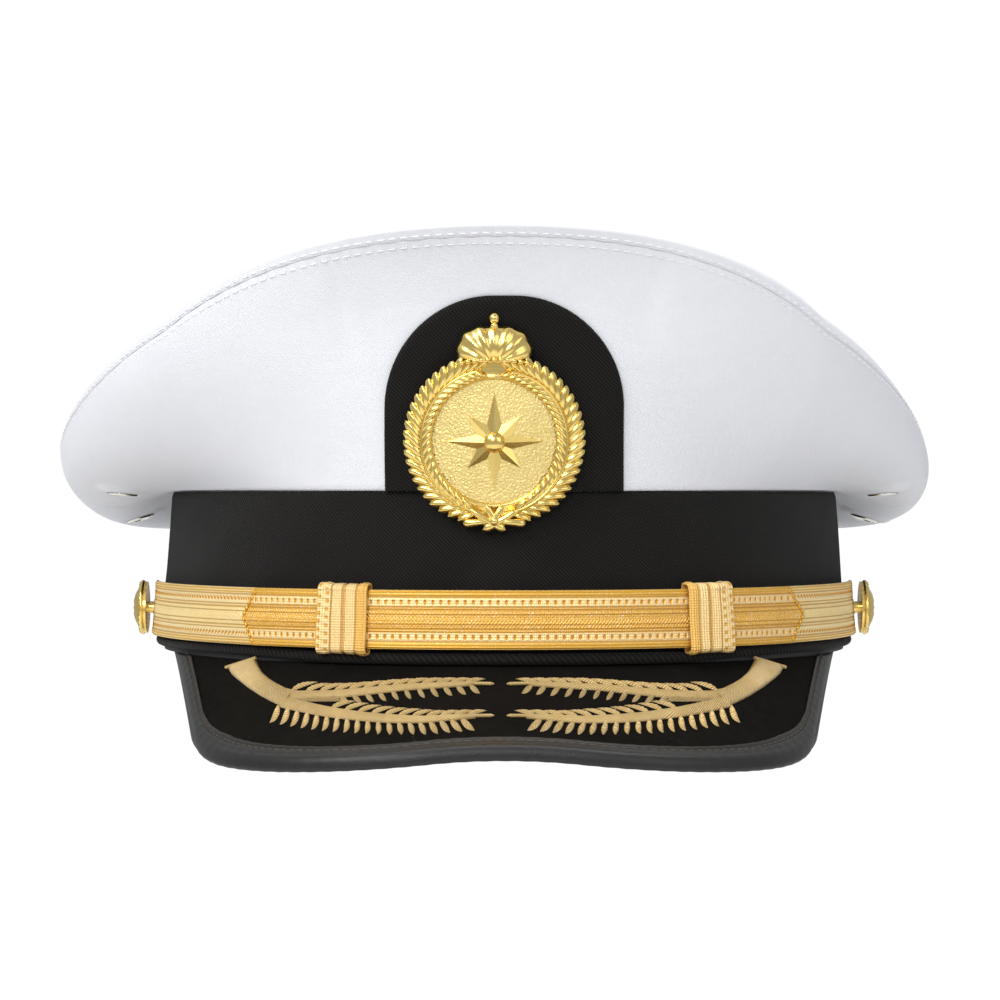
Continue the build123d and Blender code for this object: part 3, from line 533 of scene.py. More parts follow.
WHITE = white_twill()
BLACK = dark_twill("black_twill")
PIPING = dark_twill("piping_twill", 1.5, 1.1)
FELT = felt()
BINDING = leather("binding_leather", (0.0075, 0.0072, 0.0068), (0.019, 0.0178, 0.0168), 0.42, 0.4, 0.5)
UNDERSIDE = leather("visor_underside", (0.012, 0.012, 0.012), (0.03, 0.03, 0.03), 0.55, 0.35, 0.8)
SWEATBAND = leather("sweatband_leather", (0.036, 0.025, 0.021), (0.075, 0.05, 0.04), 0.48, 0.45, 0.9)
GILT = gilt("gilt_metal", (0.80, 0.55, 0.14), (0.95, 0.74, 0.27), 0.24)
GILT_FIELD = gilt("gilt_stippled", (0.72, 0.53, 0.16), (0.95, 0.76, 0.33), 0.4, 1.6, 0.55)
LACE = lace_finish("gold_lace", 2.05, 4.0, 0.0, (0.80, 0.43, 0.06), (0.97, 0.60, 0.14))
LACE_FINE = lace_finish("gold_lace_fine", 1.1, 4.2, 0.6, (1.0, 0.70, 0.25), (1.0, 0.86, 0.48))
KEEPER_LACE = keeper_finish()
DARK_GOLD = gilt("dark_gold_thread", (0.70, 0.36, 0.03), (0.90, 0.56, 0.10), 0.4)
THREAD = gold_thread()
WHITE_THREAD = plain("white_thread", (0.80, 0.81, 0.84), (0.9, 0.9, 0.92), 0.6, 1.5)
BROWN_THREAD = plain("brown_thread", (0.05, 0.04, 0.032), (0.11, 0.09, 0.07), 0.6, 1.5)
SATIN = satin()
BOARD = plain("stiffener_board", (0.66, 0.66, 0.62), (0.80, 0.80, 0.77), 0.7, 4.0)
BLACK_BOARD = plain("visor_board", (0.03, 0.03, 0.03), (0.06, 0.06, 0.06), 0.7, 4.0)
REED = plain("reed_plastic", (0.07, 0.065, 0.06), (0.12, 0.11, 0.10), 0.4, 5.0)
NICKEL = plain("nickel", (0.66, 0.64, 0.59), (0.82, 0.80, 0.76), 0.2, 3.0, 0.02, Metallic=1.0)
BRASS = plain("plain_brass", (0.60, 0.44, 0.22), (0.76, 0.60, 0.33), 0.35, 3.0, 0.03, Metallic=1.0)
FILM = plain(
    "clear_film", (0.86, 0.89, 0.90), (0.93, 0.95, 0.96), 0.14, 30.0, 0.04, Alpha=0.3, Coat_Weight=0.5,
)

CAD_FINISHES = {
    "crown_hoop": BOARD, "crown_front_stay": BOARD, "band_stiffener": BLACK_BOARD, "visor_core": BLACK_BOARD,
    "sweat_shield": FILM, "vent_eyelet_washers": NICKEL, "badge_posts": BRASS, "badge_nuts": BRASS,
    "band_grommet_left": BRASS, "band_grommet_right": BRASS, "sweatband_reed": REED,
    "button_back_left": GILT, "button_back_right": GILT, "button_nut_left": BRASS, "button_nut_right": BRASS,
}
for node, finish in CAD_FINISHES.items():
    nodes[node].data.materials.clear()
    nodes[node].data.materials.append(finish.material)


# ------------------------------------------------------------------------------------------- crown
def vent_places():
    """Middle and outward direction of each eyelet, by name."""
    found = {}
    for name, t in VENTS.items():
        middle = crown_point(t, VENT_SHARE)
        found[name] = (middle, unit(middle - crown_point(t, VENT_SHARE, 1.0)))
    return found


def soft_depth(t, u):
    """How far the crown's cloth stands in from its true shape: slow waves, and a crease by the patch."""
    waves = 0.22 * np.sin(np.radians(t) * 5 + 4 * u) + 0.16 * np.sin(np.radians(t) * 11 + 9 * u + 1)
    crease = 0.6 * bump_of(t + 25 + 3 * (u - 0.8), 1.2) * bump_of(u - 0.80, 0.16)
    stay = 0.55 * np.clip((26 - np.abs(t + 1)) / 2.5, 0, 1) * np.clip((u - 0.5) / 0.2, 0, 1)
    return (waves + crease + stay) * np.sin(pi * np.clip(u / CROWN_SEAM, 0, 1)) ** 0.6


def crown_side(name, start, end, stands_for):
    """Side panel between two seams: the crown's profile over t and u, turned in along its edges.

    The cloth is pressed flat under each eyelet and left open in its bore.
    """
    t, u = grid(np.linspace(start, end, 361), np.linspace(0, CROWN_SEAM, 96))
    from_seam = np.minimum(t - start, end - t) * radians(1) * 110
    from_top, from_band = (CROWN_SEAM - u) * 60, u * 60
    edge = 0.75 * bump_of(from_seam, 0.9) + 0.12 * bump_of(from_top, 0.8) + 0.3 * bump_of(from_band, 0.8)
    points = crown_point(t, u, soft_depth(t, u) + edge)
    quads = (points[:-1, :-1] + points[1:, 1:]) / 2
    keep = np.ones(quads.shape[:2], bool)
    for middle, outward in vent_places().values():
        out = ((points - middle) @ outward)[..., None]
        flat = (points - middle) - out * outward
        reach = np.linalg.norm(flat, axis=-1, keepdims=True)
        near = np.clip((7.5 - reach) / 3.3, 0, 1) * (np.abs(out) < 6)
        near = near * near * (3 - 2 * near)
        points = points + outward * (0.02 - out) * near
        away = quads - middle
        height = (away @ outward)[..., None]
        keep &= (np.linalg.norm(away - height * outward, axis=-1) > 2.7) | (np.abs(height[..., 0]) > 6)
    return surface(name, points, WHITE, keep=keep, wall=0.8, core=(0, 0, 60), stands_for=stands_for,
                   slot="white_cloth")


def roof_point(t, rho):
    """Top panel: straight lines from its middle to the rim, on a plane through the front and rear of the rim.

    The rim's own rise and fall is added as rho squared, and a sag that is deepest in the middle.
    """
    rim = crown_point(t, 1.0)
    ends = crown_point(np.array([0.0, 180.0]), 1.0)
    lift = 2.4
    slope = (ends[1, 2] - ends[0, 2]) / (ends[1, 1] - ends[0, 1])
    middle_x, middle_y = ends[:, 0].mean(), ends[:, 1].mean()
    level = ends[0, 2] + slope * (middle_y - ends[0, 1])
    on_plane = level + slope * (rim[..., 1] - middle_y)
    y = middle_y + rho * (rim[..., 1] - middle_y)
    z = level + slope * (y - middle_y) + rho**2 * (rim[..., 2] - on_plane) - TOP_SAG * (1 - rho**2)
    return stack(middle_x + rho * (rim[..., 0] - middle_x), y, z + lift)


def crown_top():
    """Top panel with its turned-over edge: up the side from the seam, round the rim, and in to the middle."""
    t = np.linspace(0, 360, 481)[:-1]
    u = np.linspace(CROWN_SEAM, 1.0, 9)
    tt, uu = grid(t, u)
    pucker = 0.10 * np.sin(np.radians(tt) * 96) * bump_of((uu - CROWN_SEAM) * 60, 1.6)
    side = crown_point(tt, uu, -0.15 + 0.14 * bump_of((uu - CROWN_SEAM) * 60, 0.6) + pucker)
    rim = side[:, -1:]
    ahead = unit(side[:, -1:] - side[:, -2:-1])
    landing = roof_point(t, 0.984)[:, None]
    turned = bezier((rim, rim + ahead * 0.9 + np.array([0, 0, 0.25]), landing), np.linspace(0, 1, 10)[1:-1])
    tr, rho = grid(t, np.concatenate([np.linspace(0.984, 0.9, 16), np.linspace(0.9, 0, 42)[1:]]))
    roof = roof_point(tr, rho)
    gathers = 0.16 * np.sin(np.radians(tr) * 31 + 2 * np.sin(np.radians(tr) * 3)) * bump_of(1 - rho, 0.1)
    ripple = 0.35 * np.sin(roof[..., 0] / 27 + 1) * np.sin(roof[..., 1] / 34) * (1 - rho**4)
    roof[..., 2] += (gathers + ripple) * np.clip((1 - rho) / 0.03, 0, 1)
    points = np.concatenate([side, turned, roof], 1)
    return surface("crown_top_panel", points, WHITE, wrap_rows=True, wall=0.8, core=(0, 0, 40), merge=True,
                   stands_for=["crown_top"], slot="white_cloth")


def seam_stitches():
    """Two rows of stitches beside the crown's seam."""
    t = np.linspace(0, 360, 721)
    rows = []
    for u, depth in ((0.972, -0.2), (0.925, -0.02)):
        path = crown_point(t, u, depth)
        out = path - crown_point(t, u, depth + 1)
        place, along = spaced(path, 2.7)
        stops, shares = np.linspace(0, 1, len(place)), np.linspace(0, 1, len(out))
        side = np.stack([np.interp(stops, shares, out[:, k]) for k in range(3)], -1)
        rows.append(grains(place, along, side, 2.0, 0.22, rings=5, turns=6))
    surface("crown_stitches", np.concatenate(rows), WHITE_THREAD, wrap_columns=True, core="own", merge=True,
            slot="white_cloth")


def eyelets():
    """Nickel eyelets: one profile of radius and height turned about each eyelet's line."""
    profile = np.array([
        (2.0, -2.2), (2.0, 0.15), (2.1, 0.45), (2.45, 0.68), (3.0, 0.74), (3.6, 0.6), (3.95, 0.32), (4.0, 0.12),
        (3.9, 0.04), (2.6, 0.02), (2.5, -0.4), (2.5, -2.2),
    ])
    turn = np.arange(48) * 2 * pi / 48
    for name, (middle, outward) in vent_places().items():
        across = unit(np.cross(outward, (0, 1.0, 0)))
        other = np.cross(outward, across)
        ring = across * np.cos(turn)[:, None] + other * np.sin(turn)[:, None]
        points = middle + ring[:, None] * profile[:, :1] + outward * profile[:, 1:]
        surface(f"eyelet_{name}", points, NICKEL, wrap_rows=True, wrap_columns=True, core="own",
                stands_for=[f"vent_eyelet_{name}"], slot="nickel")


def crown_lining():
    """Satin lining: the crown's profile four millimetres in, with shallow pleats, and a quilted roof."""
    t, u = grid(np.linspace(0, 360, 361)[:-1], np.linspace(0.01, 0.84, 50))
    pleats = 0.18 * np.sin(np.radians(t) * 60 + 3 * np.sin(np.radians(t) * 7)) * (0.3 + u)
    points = crown_point(t, u, 4.3 + pleats)
    quads = (points + np.roll(points, -1, 0))[:, 1:] / 2
    keep = np.ones((360, 49), bool)
    for middle, outward in vent_places().values():
        away = quads - middle
        height = (away @ outward)[..., None]
        keep &= (np.linalg.norm(away - height * outward, axis=-1) > 4.6) | (np.abs(height[..., 0]) > 9)
    side = surface("lining_gathered_side", points, SATIN, wrap_rows=True, keep=keep, core=(0, 0, 60), wall=0.3,
                   stands_for=["lining_side"], slot="lining_cloth")
    box_low, box_high = (np.array(v) * 1000 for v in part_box("lining_top"))
    rim = crown_point(np.linspace(0, 360, 361)[:-1], 0.84, 4.3)
    rim[:, 2] += 1.0
    share = np.linspace(1, 0, 45)[:, None, None]
    middle = np.array([
        (rim[90, 0] + rim[270, 0]) / 2, (box_low[1] + box_high[1]) / 2, (rim[0, 2] + rim[180, 2]) / 2,
    ])
    points = middle + (rim - middle) * share
    on_line = rim[180, 2] + (rim[0, 2] - rim[180, 2]) * (rim[180, 1] - rim[:, 1]) / (rim[180, 1] - rim[0, 1])
    forward = (rim[180, 1] - points[..., 1]) / (rim[180, 1] - rim[0, 1])
    level = rim[180, 2] + (rim[0, 2] - rim[180, 2]) * forward
    x, y = points[..., 0], points[..., 1]
    quilt = 0.25 * np.abs(np.sin((x + y) / 9) * np.sin((x - y) / 9))
    square = share[..., 0] ** 2
    points[..., 2] = level + square * (rim[:, 2] - on_line) - 9.0 * (1 - square) + quilt * (1 - square)
    points = points.transpose(1, 0, 2)
    top = surface("lining_quilted_top", points, SATIN, wrap_rows=True, merge=True, core=(0, 0, 200), wall=0.3,
                  stands_for=["lining_top"], slot="lining_cloth")
    return side, top


front_panel = crown_side("crown_front_panel", -90, 90, ["crown_front_quarter"])
rear_panel = crown_side("crown_rear_panel", 90, 270, ["crown_rear_quarter"])
top_panel = crown_top()
seam_stitches()
eyelets()
lining_side, lining_top = crown_lining()


# -------------------------------------------------------------------------------------------- band
def band_cover():
    """Black cover of the band: the leaning wall over t and z, with slack folds, turned in at both edges."""
    t, z = grid(np.linspace(0, 360, 541)[:-1], np.concatenate([
        np.linspace(2.7, 4, 6), np.linspace(4, 39, 40)[1:], np.linspace(39, 40, 7)[1:]]))
    a = np.radians(t)
    folds = 0.22 * np.sin(a * 9 + z / 6) * np.sin(a * 4 + 1) + 0.14 * np.sin(a * 23 - z / 4)
    folds *= np.sin(pi * (z - 2.7) / 37.3) ** 0.5
    turned = 0.5 * bump_of(z - 2.7, 0.6) + 0.35 * bump_of(40 - z, 0.6)
    points = wall_point(t, -LEAN * z - 0.05 + folds * 0.8 - turned, z)
    return surface("band_cover_twill", points, BLACK, wrap_rows=True, wall=0.7, stands_for=["band_cover"],
                   slot="black_twill")


def piping(turns=14):
    """Round cord under the band: a circle about its line, which is pulled in and up at the sides."""
    t, angle = grid(np.arange(0, 360, 0.75), np.arange(turns) * 2 * pi / turns)
    pulled = np.clip((50 - np.abs(t - 180 * (t > 90) - 180 * (t > 270))) / 22, 0, 1)
    pulled = 1 - pulled * pulled * (3 - 2 * pulled)
    offset = PIPING_PROUD - 0.9 * pulled + PIPING_RADIUS * np.cos(angle)
    points = wall_point(t, offset, 1.35 + 0.9 * pulled + PIPING_RADIUS * np.sin(angle))
    return surface("band_piping_twill", points, PIPING, wrap_rows=True, wrap_columns=True, core=(0, 0, 1.35),
                   stands_for=["band_piping"], slot="black_twill")


def front_place(x, z):
    """t and u of the crown's front at x and height z, by halving u and working t out again each time."""
    low, high = np.zeros_like(x), np.ones_like(x)
    t = np.degrees(np.arcsin(x / END_RADIUS))
    for _ in range(24):
        u = (low + high) / 2
        at = crown_point(t, u)
        low, high = np.where(at[..., 2] < z, u, low), np.where(at[..., 2] < z, high, u)
        radius = np.hypot(at[..., 0], at[..., 1] + END_CENTRE)
        t = np.degrees(np.arcsin(np.clip(x / radius, -1, 1)))
    return t, (low + high) / 2


def badge_patch():
    """Cloth patch on the crown's front: its arched outline shrunk towards its middle, laid on the crown.

    Its face stands 1.2 mm proud and comes down to the crown over the last millimetre.
    """
    low = BAND_HEIGHT - 0.1
    flat, shoulder = PATCH_HALF_WIDTH - PATCH_CORNER, PATCH_TOP - PATCH_CORNER
    quarter = np.linspace(0, pi / 2, 60)
    right = stack(flat + PATCH_CORNER * np.cos(quarter), shoulder + PATCH_CORNER * np.sin(quarter))
    left = right[::-1] * (-1, 1)
    straight = np.linspace(0, 1, 24)[1:-1, None]
    foot = np.array([[-PATCH_HALF_WIDTH, low], [PATCH_HALF_WIDTH, low]])
    ends = [right[-1], left[0], left[-1], foot[0], foot[1]]
    runs = [right, ends[0] + (ends[1] - ends[0]) * straight, left, ends[2] + (ends[3] - ends[2]) * straight,
            ends[3] + (ends[4] - ends[3]) * np.linspace(0, 1, 60)[:, None],
            ends[4] + (right[0] - ends[4]) * straight]
    outline = np.concatenate(runs)
    middle = np.array([0, 61.0])
    share = np.concatenate([[1, 0.995, 0.985, 0.97], np.linspace(0.94, 0, 34)])[:, None, None]
    flat_points = (middle + (outline - middle) * share).transpose(1, 0, 2)
    from_edge = np.linalg.norm(outline - middle, axis=-1)[:, None] * (1 - share[:, 0, 0])
    t, u = front_place(flat_points[..., 0], flat_points[..., 1])
    lift = 0.35 + 0.9 * np.sqrt(1 - (1 - np.clip(from_edge / 1.1, 0, 1)) ** 2)
    points = crown_point(t, u, -lift - 0.05 + soft_depth(t, u) * np.clip(1.1 - from_edge, 0, 1))
    return surface("badge_patch_twill", points, BLACK, wrap_rows=True, merge=True, wall=0.35,
                   uv=np.concatenate([flat_points, flat_points[:1]], 0),
                   stands_for=["badge_patch"], slot="black_twill")


def sweatband():
    """Leather sweatband: a closed section of 1.4 mm with a rolled top edge, carried round the oval."""
    half, foot, head = 0.65, 1.35, 35.0
    rise = np.linspace(foot + 0.4, head - 0.7, 26)
    inner = stack(-5.3 - half, rise)
    outer = stack(-5.3 + half, rise[::-1])
    over = np.array([(-5.3 - 0.45, head - 0.2), (-5.3, head), (-5.3 + 0.45, head - 0.2)])
    under = np.array([(-5.3 + 0.4, foot + 0.1), (-5.3, foot), (-5.3 - 0.4, foot + 0.1)])
    section = np.concatenate([inner, over, outer, under])
    t, k = grid(np.linspace(0, 360, 481)[:-1], np.arange(len(section)))
    offset, z = section[k, 0], section[k, 1]
    groove = 0.22 * bump_of(z - 31.8, 0.5) * (offset < -5.3)
    offset = offset + 0.12 * np.sin(np.radians(t) * 13 + z / 9) + groove
    points = wall_point(t, offset - LEAN * z, z)
    made = surface("sweatband_leather", points, SWEATBAND, wrap_rows=True, wrap_columns=True,
                   core=(0, 0, 18), stands_for=["sweatband"], slot="sweatband_leather")
    t = np.linspace(0, 360, 721)
    path = wall_point(t, -5.95 - LEAN * 31.8, 31.8)
    place, along = spaced(path, 3.1)
    inward = unit(-place * (1, 1, 0))
    surface("sweatband_stitches", grains(place, along, inward, 2.2, 0.24, rings=5), BROWN_THREAD,
            wrap_columns=True, core="own", merge=True, slot="sweatband_leather")
    return made


cover = band_cover()
piping()
patch = badge_patch()
leather_band = sweatband()


# ------------------------------------------------------------------------------------------- badge
def badge_axes():
    """Middle, upward and outward directions of the badge, which leans with the cap's front."""
    _, share = front_place(np.array([0.0]), np.array([BADGE_FOOT + 2 * BADGE_RADIUS + 9]))
    outer = -crown_point(0.0, share[0])[1] - HALF_LENGTH + 1.6
    inner = -LEAN * BADGE_FOOT + 0.3
    lean = np.arctan2(outer - inner, 2 * BADGE_RADIUS + 9)
    offset = inner + (outer - inner) * BADGE_RADIUS / (2 * BADGE_RADIUS + 9)
    middle = np.array([-BADGE_SHIFT, -HALF_LENGTH - offset, BADGE_FOOT + BADGE_RADIUS * np.cos(lean)])
    return middle, np.array([0, -np.sin(lean), np.cos(lean)]), np.array([0, -np.cos(lean), -np.sin(lean)])


BADGE_MIDDLE, BADGE_UP, BADGE_OUT = badge_axes()


def on_badge(x, y, height):
    """Flat place and height above the badge's back, bent round an upright axis behind it."""
    out = np.sqrt((BADGE_BEND + height) ** 2 - x**2) - BADGE_BEND
    return BADGE_MIDDLE + stack(x, 0 * x, 0 * x) + y[..., None] * BADGE_UP + out[..., None] * BADGE_OUT


def badge_piece(name, x, y, height, finish=None, **settings):
    x, y, height = np.broadcast_arrays(x, y, height)
    return surface(name, on_badge(x, y, height), finish or GILT, core=BADGE_MIDDLE - 12 * BADGE_OUT,
                   slot="gilt_metal", **settings)


def badge_bead(y, height, length, radius):
    """Grain on the badge's middle line, standing along it."""
    place = on_badge(np.zeros(1), np.full(1, y), np.full(1, height))
    return grains(place, BADGE_UP[None], BADGE_OUT[None], length, radius, 8, 10)


def badge_plate():
    """Plate: a profile of radius and height turned about the badge's middle, with a stippled field."""
    field = np.array([(0, 1.25), (4, 1.22), (8, 1.15), (12, 1.05), (14.35, 1.0)])
    ring = np.array([(14.3, 0.9), (14.55, 1.3), (14.9, 1.5), (15.3, 1.4), (15.6, 1.2), (17, 1.45), (18.6, 1.3),
                     (19.3, 0.9), (19.5, 0.4), (19.3, 0.0), (14.3, 0.0)])
    turn = np.arange(192) * 2 * pi / 192
    for name, profile, finish, node, wrap in (
        ("badge_field", field, GILT_FIELD, "badge_plate", False), ("badge_ring", ring, GILT, None, True)
    ):
        angle, k = grid(turn, np.arange(len(profile)))
        badge_piece(name, profile[k, 0] * np.sin(angle), profile[k, 0] * np.cos(angle), profile[k, 1], finish,
                    wrap_rows=True, wrap_columns=wrap, merge=True, stands_for=[node] if node else [])


def leaf_grid(roots, angles, lengths, widths, base, rise, curve=0.0):
    """Leaves on the badge: width and height follow a lens along each leaf, with a ridge down its middle."""
    a, b = grid(np.linspace(0, 1, 11), np.linspace(-1, 1, 7))
    lens = np.sin(pi * a) ** 0.48
    roots, angles, lengths, widths = (np.asarray(v, float) for v in (roots, angles, lengths, widths))
    heading = np.radians(angles)[:, None, None] + curve * (a - 0.5)
    ahead, aside = lengths[:, None, None] * a, widths[:, None, None] / 2 * b * lens
    x = roots[:, 0, None, None] + ahead * np.sin(heading) + aside * np.cos(heading)
    y = roots[:, 1, None, None] + ahead * np.cos(heading) - aside * np.sin(heading)
    ridge = (1 - np.abs(b)) ** 0.8
    height = base + 0.35 * a + rise * lens * (0.35 * np.sqrt(1 - b**2) + 0.65 * ridge)
    return x, y, np.broadcast_to(height, x.shape)


def badge_wreath():
    """Laurel wreath: on each side a stem with an outer and an inner row of leaves."""
    parts = []
    for side in (-1, 1):
        for count, radius, tilt, length, width, first, last in (
            (25, 17.2, -23, 6.1, 2.6, 168, 16), (23, 16.8, 27, 5.0, 2.2, 164, 18),
        ):
            place = np.linspace(first, last, count)
            roots = stack(side * radius * np.sin(np.radians(place)), radius * np.cos(np.radians(place)))
            headings = side * (place - 90 - tilt)
            shrink = np.interp(np.arange(count), [0, 3, count - 4, count - 1], [0.85, 1, 1, 0.8])
            curve = -0.25 * side * np.sign(tilt)
            parts.append(leaf_grid(roots, headings, length * shrink, width * shrink, 1.25, 1.1, curve))
    x, y, height = (np.concatenate([p[k] for p in parts]) for k in range(3))
    badge_piece("badge_wreath_leaves", x, y, height, merge=True, stands_for=["badge_wreath"])
    paths = []
    for side in (-1, 1):
        angle = np.radians(np.linspace(172, 14, 60))
        paths.append(on_badge(side * 16.8 * np.sin(angle), 16.8 * np.cos(angle), 1.85 + 0 * angle))
    surface("badge_wreath_stems", tubes(np.stack(paths), np.full(60, 0.42), 8, up=BADGE_OUT), GILT,
            wrap_columns=True, core="own", slot="gilt_metal")


def badge_star():
    """Faceted star of eight points: straight facets from its middle to each point and each waist."""
    spin = np.arange(17) * pi / 8
    reach = np.where(np.arange(17) % 2, 4.3, 11.2)
    reach = np.where(np.arange(17) % 4 == 2, 8.6, reach)
    share = np.array([0, 1, 1.0])[:, None]
    height = np.array([2.9, 1.35, 1.0])[:, None] + 0 * spin
    x, y = share * reach * np.sin(spin), share * reach * np.cos(spin)
    badge_piece("badge_star_facets", x.T, y.T, height.T, flat_shaded=True, stands_for=["badge_star"])
    angle, k = grid(np.arange(40) * 2 * pi / 40, np.arange(6))
    radius = np.array([0, 1.2, 1.9, 2.3, 2.45, 2.2])[k]
    badge_piece("badge_star_boss", radius * np.sin(angle), radius * np.cos(angle),
                np.array([3.7, 3.5, 3.1, 2.6, 2.2, 1.6])[k], wrap_rows=True, merge=True)


def badge_finial():
    """Scallop shell over the wreath, ribbed from its hinge, with a necked ball and a row of pearls."""
    angle, share = grid(np.radians(np.linspace(-82, 82, 133)), np.linspace(0, 1, 22))
    ribs = 0.5 + 0.5 * np.cos(angle / radians(82) * pi * 7)
    reach = (np.abs(np.sin(angle) / 8.8) ** 3 + (np.cos(angle) / 8.5) ** 3) ** (-1 / 3)
    reach = reach * (0.97 + 0.035 * ribs * share)
    x, y = share * reach * np.sin(angle), 18.3 + share * reach * np.cos(angle)
    height = 1.3 + 1.9 * np.sin(pi * np.clip(share, 0.05, 1) ** 0.8) ** 0.7
    height = height + 0.34 * ribs * share - 0.9 * share**6
    badge_piece("badge_shell", x, y, height, merge=True, wall=0.6, stands_for=["badge_finial"])
    turn = np.linspace(-1, 1, 11)
    centre = on_badge(7.5 * turn, 18.3 + 0.9 * (1 - turn**2), 2.7 + 0 * turn)
    beads = grains(centre, np.tile(BADGE_UP, (11, 1)), np.tile(BADGE_OUT, (11, 1)), 1.45, 0.72, 8, 10)
    beads = np.concatenate([beads, badge_bead(28.6, 1.9, 2.5, 1.25), badge_bead(26.9, 1.8, 1.7, 0.95)])
    surface("badge_pearls", beads, GILT, wrap_columns=True, core="own", merge=True, slot="gilt_metal")


def badge_tie():
    """Crossed stem ends and ribbon at the wreath's foot, as bent tapering tubes."""
    bends = np.array([
        [(-5.6, -15.6), (-1.4, -18.4), (2.6, -20.4)], [(5.6, -15.6), (1.4, -18.4), (-2.6, -20.4)],
        [(-1.9, -14.6), (-0.5, -17.0), (1.0, -19.9)], [(1.9, -14.6), (0.5, -17.0), (-1.0, -19.9)],
        [(0, -18.3), (3.6, -18.4), (7.2, -19.0)], [(0, -18.3), (-3.6, -18.4), (-7.2, -19.0)],
    ], float)
    share = np.linspace(0, 1, 18)
    flat = bezier((bends[:, 0, None], bends[:, 1, None], bends[:, 2, None]), share[None])
    height = 2.2 + 0.3 * np.sin(pi * share)[None] + 0 * flat[..., 0]
    paths = on_badge(flat[..., 0], flat[..., 1], height)
    radii = (0.6 + 0.5 * share) * np.minimum(1, (1.02 - share) * 9) * np.minimum(1, (share + 0.02) * 9)
    surface("badge_ribbon", tubes(paths, radii, 10, 0.75, BADGE_OUT), GILT, wrap_columns=True, core="own",
            slot="gilt_metal")
    surface("badge_knot", badge_bead(-18.2, 2.7, 2.3, 1.15), GILT, wrap_columns=True, core="own",
            merge=True, slot="gilt_metal")


badge_plate()
badge_wreath()
badge_star()
badge_finial()
badge_tie()


# ------------------------------------------------------------------------------------------- visor
def band_front(x):
    """y of the oval's front half at x."""
    x = np.abs(x)
    on_end = -END_CENTRE - np.sqrt(np.maximum(END_RADIUS**2 - x**2, 0))
    on_side = -np.sqrt(np.maximum(SIDE_RADIUS**2 - (x + SIDE_CENTRE) ** 2, 0))
    return np.where(x <= END_RADIUS * np.sin(np.radians(JOIN_ANGLE)), on_end, on_side)


def visor_height(x, y):
    """Height of the visor's face: the oval carried down a slope, so it drops with the distance ahead."""
    return np.minimum(-tan(VISOR_SLOPE) * (band_front(x) - y), -0.15)


def visor_outline(count, inset=0.0, stop=0.0):
    """Points and outward directions along the visor's edge, from its right end round to its left.

    A straight front, two round corners and two side lines that open to the rear.
    """
    turn = np.linspace(-pi / 2, -VISOR_SPLAY, 60)
    tangent = VISOR_CORNER * tan((pi / 2 - VISOR_SPLAY) / 2)
    flat = VISOR_HALF - tangent
    facing = stack(np.cos(turn), np.sin(turn))
    corner = np.array([flat, VISOR_FRONT + VISOR_CORNER]) + VISOR_CORNER * facing
    length = (-31.0 - stop - corner[-1, 1]) / np.cos(VISOR_SPLAY)
    backwards = np.array([np.sin(VISOR_SPLAY), np.cos(VISOR_SPLAY)])
    side = corner[-1] + backwards * np.linspace(0, length, 30)[1:, None]
    side[:, 0] = np.minimum(side[:, 0], VISOR_WIDEST)
    half = np.concatenate([np.array([[0.0, VISOR_FRONT]]), corner, side])
    half_facing = np.concatenate([np.array([[0.0, -1.0]]), facing, np.repeat(facing[-1:], len(side), 0)])
    whole = np.concatenate([half[:0:-1] * (-1, 1), half])
    whole_facing = np.concatenate([half_facing[:0:-1] * (-1, 1), half_facing])
    walked = np.concatenate([[0], np.cumsum(np.linalg.norm(np.diff(whole, axis=0), axis=1))])
    stops = np.linspace(0, walked[-1], count)
    at = [np.interp(stops, walked, whole[:, k]) for k in (0, 1)]
    out = unit(stack(*[np.interp(stops, walked, whole_facing[:, k]) for k in (0, 1)]))
    return stack(*at) - inset * out, out


def binding_width(y):
    """Width of the binding, which is widest across the front and narrows along the sides."""
    return np.interp(y, (-113, -92), (BINDING_WIDTH, 2.7))


def visor_sheet(name, drop, finish, node, slot, above):
    """Sheet of the visor: straight lines in plan from the band to its edge, lifted to the sloping face."""
    edge, out = visor_outline(281)
    edge = edge - out * (binding_width(edge[:, 1]) - 0.9)[:, None]
    angle = np.arctan2(edge[:, 0], -(edge[:, 1] + 5)) * 0.98
    near = wall_point(np.degrees(angle), -2.2, 0)[:, :2]
    share = np.linspace(0, 1, 70)[:, None, None]
    plan = (near + (edge - near) * share).transpose(1, 0, 2)
    soft = 0.1 * np.sin(plan[..., 0] / 9) * np.sin(plan[..., 1] / 7)
    z = visor_height(plan[..., 0], plan[..., 1]) - drop + soft * share[:, 0, 0]
    points = stack(plan[..., 0], plan[..., 1], np.minimum(z, -0.12))
    behind = (0, -80, -400 if above else 400)
    return surface(name, points, finish, wall=0.4, core=behind, stands_for=[node], slot=slot)


